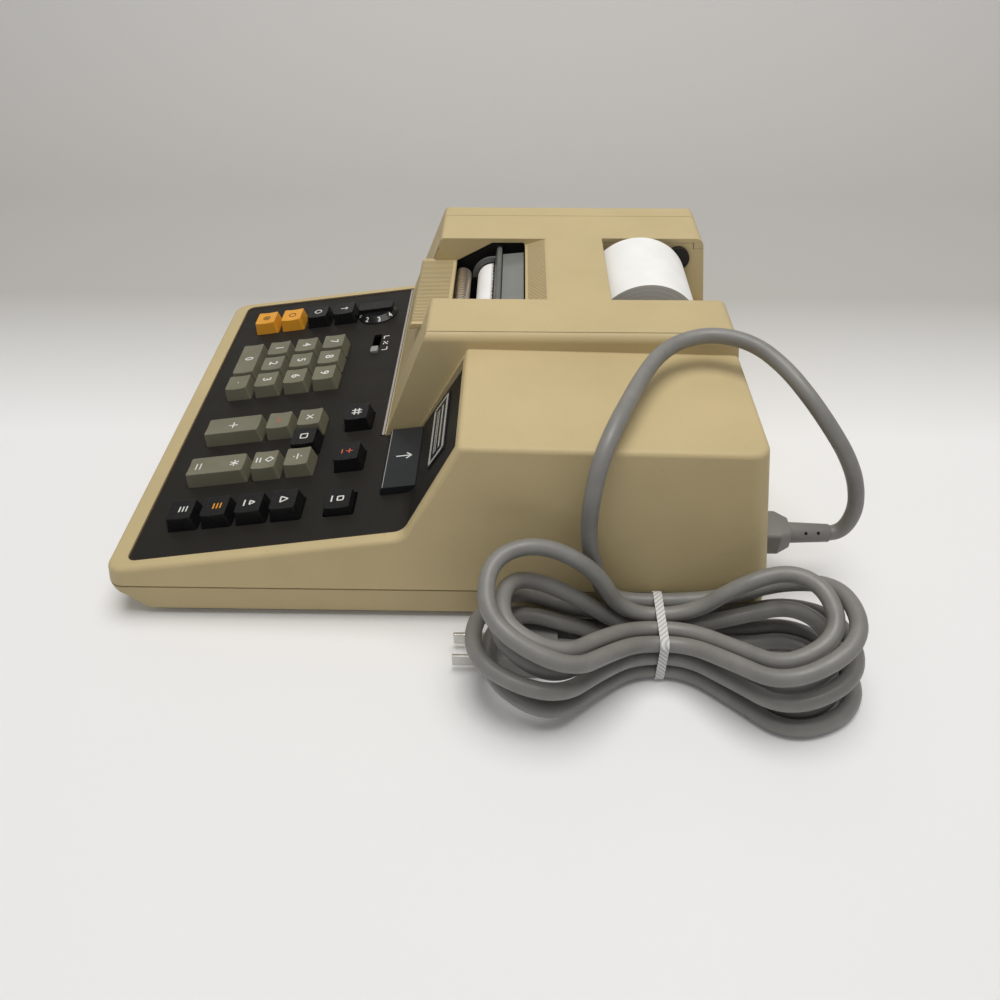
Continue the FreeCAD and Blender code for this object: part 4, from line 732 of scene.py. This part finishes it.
def torn_strip():
    """The paper from the roll's underside round the platen, with a jagged end and one bite."""
    low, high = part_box("paper_strip")
    half = STRIP_THICKNESS / 2 * MM
    x0 = low[0]
    x1 = high[0]
    z_low = low[2] + half
    z_top = high[2] - half
    y_front = low[1] + half
    turn_up = 9 * MM
    bend = 9.2 * MM
    route = [(roll_axis[1], z_low), (y_front + turn_up, z_low)]
    for i in range(1, 9):
        angle = math.radians(90.0 * i / 8)
        route.append((y_front + turn_up * (1 - math.sin(angle)), z_low + turn_up * (1 - math.cos(angle))))
    for i in range(0, 13):
        angle = math.radians(90.0 * i / 12)
        route.append((y_front + bend * (1 - math.cos(angle)), z_top - bend + bend * math.sin(angle)))
    columns = 56
    tooth_height = 0.6 * MM
    bite_depth = 2.4 * MM
    bite_place = 0.90
    bite_spread = 0.07
    chance = random.Random(7)
    bm = bmesh.new()
    grid = []
    for k in range(columns + 1):
        x = x0 + (x1 - x0) * k / columns
        tooth = tooth_height * abs((k % 4) / 2.0 - 1.0) + chance.uniform(-0.2, 0.2) * MM
        bite = bite_depth * max(0.0, 1.0 - abs(k / columns - bite_place) / bite_spread)
        edge = y_front + bend - 0.2 * MM + tooth - bite
        # The last half millimetre of the paper turns up a little
        points = route + [(edge - 0.5 * MM, z_top + 0.05 * MM), (edge, z_top + 0.35 * MM)]
        grid.append([bm.verts.new((x, y, z)) for y, z in points])
    for k in range(columns):
        for i in range(len(grid[0]) - 1):
            bm.faces.new((grid[k][i], grid[k + 1][i], grid[k + 1][i + 1], grid[k][i + 1]))
    mesh = mesh_from(bm, "torn_strip", smooth=True)
    strip = piece("printed_paper", mesh, paper("strip_paper", WHITE), "case")
    thick = strip.modifiers.new("thickness", "SOLIDIFY")
    thick.thickness = 0.12 * MM
    thick.offset = 0.0
    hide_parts("paper_strip")


torn_strip()


# The mains lead: one smooth line from the sleeve through the arch and the hank to the plug

FREE_ROUTE = [(100, 190, 33), (100, 196.2, 33), (100, 199.8, 47), (99, 196.4, 63), (96.5, 189.5, 77),
              (93, 180, 90), (84, 170, 101), (70, 160.5, 108), (55, 149, 111.5), (47.5, 133, 112),
              (50.5, 116.5, 111), (62, 103.5, 109.5), (80, 94, 108.5), (100, 86, 109), (118, 78.5, 108),
              (130, 72.5, 99), (135, 70, 85), (135, 69.5, 69), (134.5, 71, 54), (135.5, 74.5, 41)]
LEAD_STRAIGHT = 14.0
HANK_LEAD = 9.0
PLUG_STRAIGHT = 8.5
SHIFT_SPAN = 0.125
CLIMB_SPAN = 0.25


def hank_level(turns):
    """How far the lead has shifted to the inner lane of its row, from 0 to 1."""
    return sum(step * min(max((turns - start) / SHIFT_SPAN, 0.0), 1.0) for start, step in HANK_SHIFTS)


def hank_above(turns):
    """How many rows lie under the lead at a place along the hank."""
    climbed = sum(min(max((turns - climb) / CLIMB_SPAN + 0.5, 0.0), 1.0) for climb in HANK_CLIMBS)
    return HANK_ROWS - 1 - climbed


def hank_side(eighth):
    """The side of the hank's middle: -1 near the case, 1 away from it, 0 at a fold's end."""
    return (-1, -1, 0, 1, 1, 1, 0, -1)[eighth % 8]


def hank_height(eighth):
    """The height of the lead's centre line; the loops fan upwards from the waist."""
    phase = eighth % 8
    above = hank_above(eighth / 8.0)
    z = HANK_BASE + above * ROW_PITCH
    if phase in (0, 4):
        return z
    rise = FAN_RIGHT * above if phase in (1, 2, 3) else LIFT_LEFT + FAN_LEFT * above
    share = 1.0
    if hank_side(eighth) > 0:
        share = NEAR_SHARE
    elif hank_side(eighth) < 0:
        share = FAR_SHARE + (1.0 - FAR_SHARE) * hank_level(eighth / 8.0)
    return z + rise * share


def hank_knot(eighth):
    """A point of the hank and the lead's heading there, eight to a turn."""
    phase = eighth % 8
    side = hank_side(eighth)
    level = hank_level(eighth / 8.0)
    above = hank_above(eighth / 8.0)
    z = hank_height(eighth)
    if phase in (0, 4):
        return Vector((HANK_X + side * (WAIST_HALF - WAIST_STEP * level), HANK_Y, z)), Vector((0, -side, 0))
    end = 1.0 if phase in (1, 2, 3) else -1.0
    radius = FOLD_RADIUS - FOLD_STEP * level
    centre_x = HANK_X + FOLD_SHIFT - FOLD_LEAN * above
    centre_y = HANK_Y + end * (FOLD_CENTRE + FOLD_REACH * (HANK_ROWS - 1 - above))
    change = hank_height(eighth + 1) - hank_height(eighth - 1)
    if side == 0:
        slope = change / (4.0 * radius)
        return Vector((centre_x, centre_y + end * radius, z)), Vector((end, 0, slope)).normalized()
    spread = math.radians(SHOULDER_FAR if side < 0 else SHOULDER_NEAR)
    outward = side * radius * math.cos(spread)
    inward = end * radius * math.sin(spread)
    point = Vector((centre_x + outward, centre_y - inward, z))
    way = 1.0 if phase in (1, 5) else -1.0
    slope = change / (FOLD_CENTRE + 2.0 * radius)
    return point, Vector((side * math.sin(spread) * way, end * math.cos(spread) * way, slope)).normalized()


def corners_between(start, heading, end, final):
    """The two corners of the pair of arcs that join two points with given headings."""
    chord = end - start
    a = 2 * (1 - heading.dot(final))
    b = 2 * chord.dot(heading + final)
    c = -chord.dot(chord)
    reach = -c / b if abs(a) < 1e-9 else (-b + math.sqrt(b * b - 4 * a * c)) / (2 * a)
    return [start + heading * reach, end - final * reach]


def lead_points():
    """The control points of the whole lead, from the connector to the plug."""
    points = [Vector(p) for p in FREE_ROUTE]
    here, heading = hank_knot(0)
    points.append(here - heading * (HANK_LEAD + LEAD_STRAIGHT))
    for eighth in range(1, int(HANK_TURNS * 8) + 1):
        point, ahead = hank_knot(eighth)
        points += corners_between(here, heading, point, ahead)
        here = point
        heading = ahead
    straight = PLUG_ENTRY + Vector((0, PLUG_STRAIGHT, 0))
    points += corners_between(here, heading, straight, Vector((0, -1, 0)))
    points.append(PLUG_ENTRY.copy())
    return [p * MM for p in points]


def spline_length(curve_object):
    """The length of a curve without its thickness."""
    mesh = bpy.data.meshes.new_from_object(curve_object)
    ends = [[mesh.vertices[i].co for i in edge.vertices] for edge in mesh.edges]
    total = sum((a - b).length for a, b in ends)
    bpy.data.meshes.remove(mesh)
    return total


def mains_lead():
    """The lead as one round curve."""
    points = lead_points()
    curve = bpy.data.curves.new("mains_lead", "CURVE")
    curve.dimensions = "3D"
    spline = curve.splines.new("NURBS")
    spline.points.add(len(points) - 1)
    for target, place in zip(spline.points, points):
        target.co = (place.x, place.y, place.z, 1.0)
    spline.order_u = 3
    spline.use_endpoint_u = True
    spline.resolution_u = 10
    lead = bpy.data.objects.new("mains_lead", curve)
    bpy.context.scene.collection.objects.link(lead)
    bpy.context.view_layer.update()
    length = spline_length(lead)
    curve.bevel_depth = CORD_DIAMETER / 2
    curve.bevel_resolution = 7
    curve.materials.append(cord_skin)
    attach(lead, "case")
    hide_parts("cord_free", "cord_hank")
    print("lead length", round(length, 4))


mains_lead()


# Stage, light and camera

def stage():
    """A pale floor that curves up into a backdrop behind the machine; the backdrop is painted grey as
    shade.
    """
    front_x = 1.6
    back_x = -0.45
    bend = 0.5
    height = 2.4
    half_width = 2.6
    profile = [(front_x, 0.0), (back_x, 0.0)]
    for i in range(1, 13):
        angle = math.radians(90.0 * i / 12)
        profile.append((back_x - bend * math.sin(angle), bend * (1 - math.cos(angle))))
    profile.append((back_x - bend, height))
    bm = bmesh.new()
    rows = []
    for x, z in profile:
        rows.append([bm.verts.new((x, y, z)) for y in (-half_width, half_width)])
    for i in range(len(rows) - 1):
        bm.faces.new((rows[i][0], rows[i + 1][0], rows[i + 1][1], rows[i][1]))
    bmesh.ops.recalc_face_normals(bm, faces=bm.faces)
    mesh = mesh_from(bm, "sweep", smooth=True)
    sweep = bpy.data.objects.new("sweep", mesh)
    bpy.context.scene.collection.objects.link(sweep)
    n = Nodes("sweep_paint")
    along = n.add("ShaderNodeSeparateXYZ")
    n.link(n.place.outputs["Object"], along.inputs["Vector"])
    floor = n.mix(n.spread(n.noise(3.0, 2.0), 0.3, 0.7), (0.87, 0.87, 0.87), (0.84, 0.84, 0.84))
    # Painted shade: the backdrop is grey, darkest close behind the machine and lighter further back.
    grey = (0.475, 0.465, 0.445)
    light_grey = (0.63, 0.62, 0.605)
    backdrop = n.mix(n.spread(along.outputs["X"], -0.85, -0.40, 1.0, 0.0), grey, light_grey)
    n.colour(n.mix(n.spread(along.outputs["X"], -0.20, -0.02, 1.0, 0.0), floor, backdrop))
    n.shader.inputs["Roughness"].default_value = 0.9
    mesh.materials.append(n.material)


def area_light(name, place, target, size, power, colour):
    """A round lamp aimed at a point."""
    light = bpy.data.lights.new(name, "AREA")
    light.shape = "DISK"
    light.size = size
    light.energy = power
    light.color = colour
    made = bpy.data.objects.new(name, light)
    bpy.context.scene.collection.objects.link(made)
    made.location = place
    made.rotation_euler = (Vector(target) - Vector(place)).to_track_quat("-Z", "Y").to_euler()


def world():
    """Even soft light from all round, and a paler tone where the camera looks past the sweep."""
    sky = bpy.data.worlds.new("studio")
    bpy.context.scene.world = sky
    sky.use_nodes = True
    tree = sky.node_tree
    background = tree.nodes["Background"]
    background.inputs["Color"].default_value = (1.0, 1.0, 1.0, 1.0)
    background.inputs["Strength"].default_value = 0.26
    seen = tree.nodes.new("ShaderNodeBackground")
    seen.inputs["Color"].default_value = (1.0, 0.99, 0.97, 1.0)
    seen.inputs["Strength"].default_value = 0.60
    path = tree.nodes.new("ShaderNodeLightPath")
    blend = tree.nodes.new("ShaderNodeMixShader")
    tree.links.new(path.outputs["Is Camera Ray"], blend.inputs["Fac"])
    tree.links.new(background.outputs["Background"], blend.inputs[1])
    tree.links.new(seen.outputs["Background"], blend.inputs[2])
    tree.links.new(blend.outputs["Shader"], tree.nodes["World Output"].inputs["Surface"])


def camera():
    """The photograph's camera: focal length in pixels of a 1000-pixel picture, angles in radians."""
    focal = 860.19
    yaw = -0.0227
    pitch = 0.7198
    roll = 0.0039
    place = Vector((407.84, 37.44, 321.92)) * MM
    ahead = Vector((-math.cos(yaw), math.sin(yaw), 0))
    right = Vector((math.sin(yaw), math.cos(yaw), 0))
    down = Vector((0, 0, -1))
    view = math.cos(pitch) * ahead + math.sin(pitch) * down
    tilt = -math.sin(pitch) * ahead + math.cos(pitch) * down
    x_axis = math.cos(roll) * right + math.sin(roll) * tilt
    y_axis = -math.sin(roll) * right + math.cos(roll) * tilt
    lens = bpy.data.cameras.new("camera")
    lens.sensor_width = 36.0
    lens.lens = lens.sensor_width * focal / 1000.0
    made = bpy.data.objects.new("camera", lens)
    bpy.context.scene.collection.objects.link(made)
    axes = Matrix((x_axis, -y_axis, -view)).transposed().to_4x4()
    made.matrix_world = Matrix.Translation(place) @ axes
    bpy.context.scene.camera = made


stage()
area_light("top_light", place=(0.06, 0.10, 1.55), target=(0.0, 0.0, 0.05), size=1.15, power=18.6,
           colour=(1.0, 0.985, 0.96))
area_light("front_fill", place=(1.1, -0.5, 1.1), target=(0.05, 0.0, 0.05), size=1.2, power=1.2,
           colour=(0.97, 0.98, 1.0))
world()
camera()
bpy.context.scene.view_settings.view_transform = "Standard"
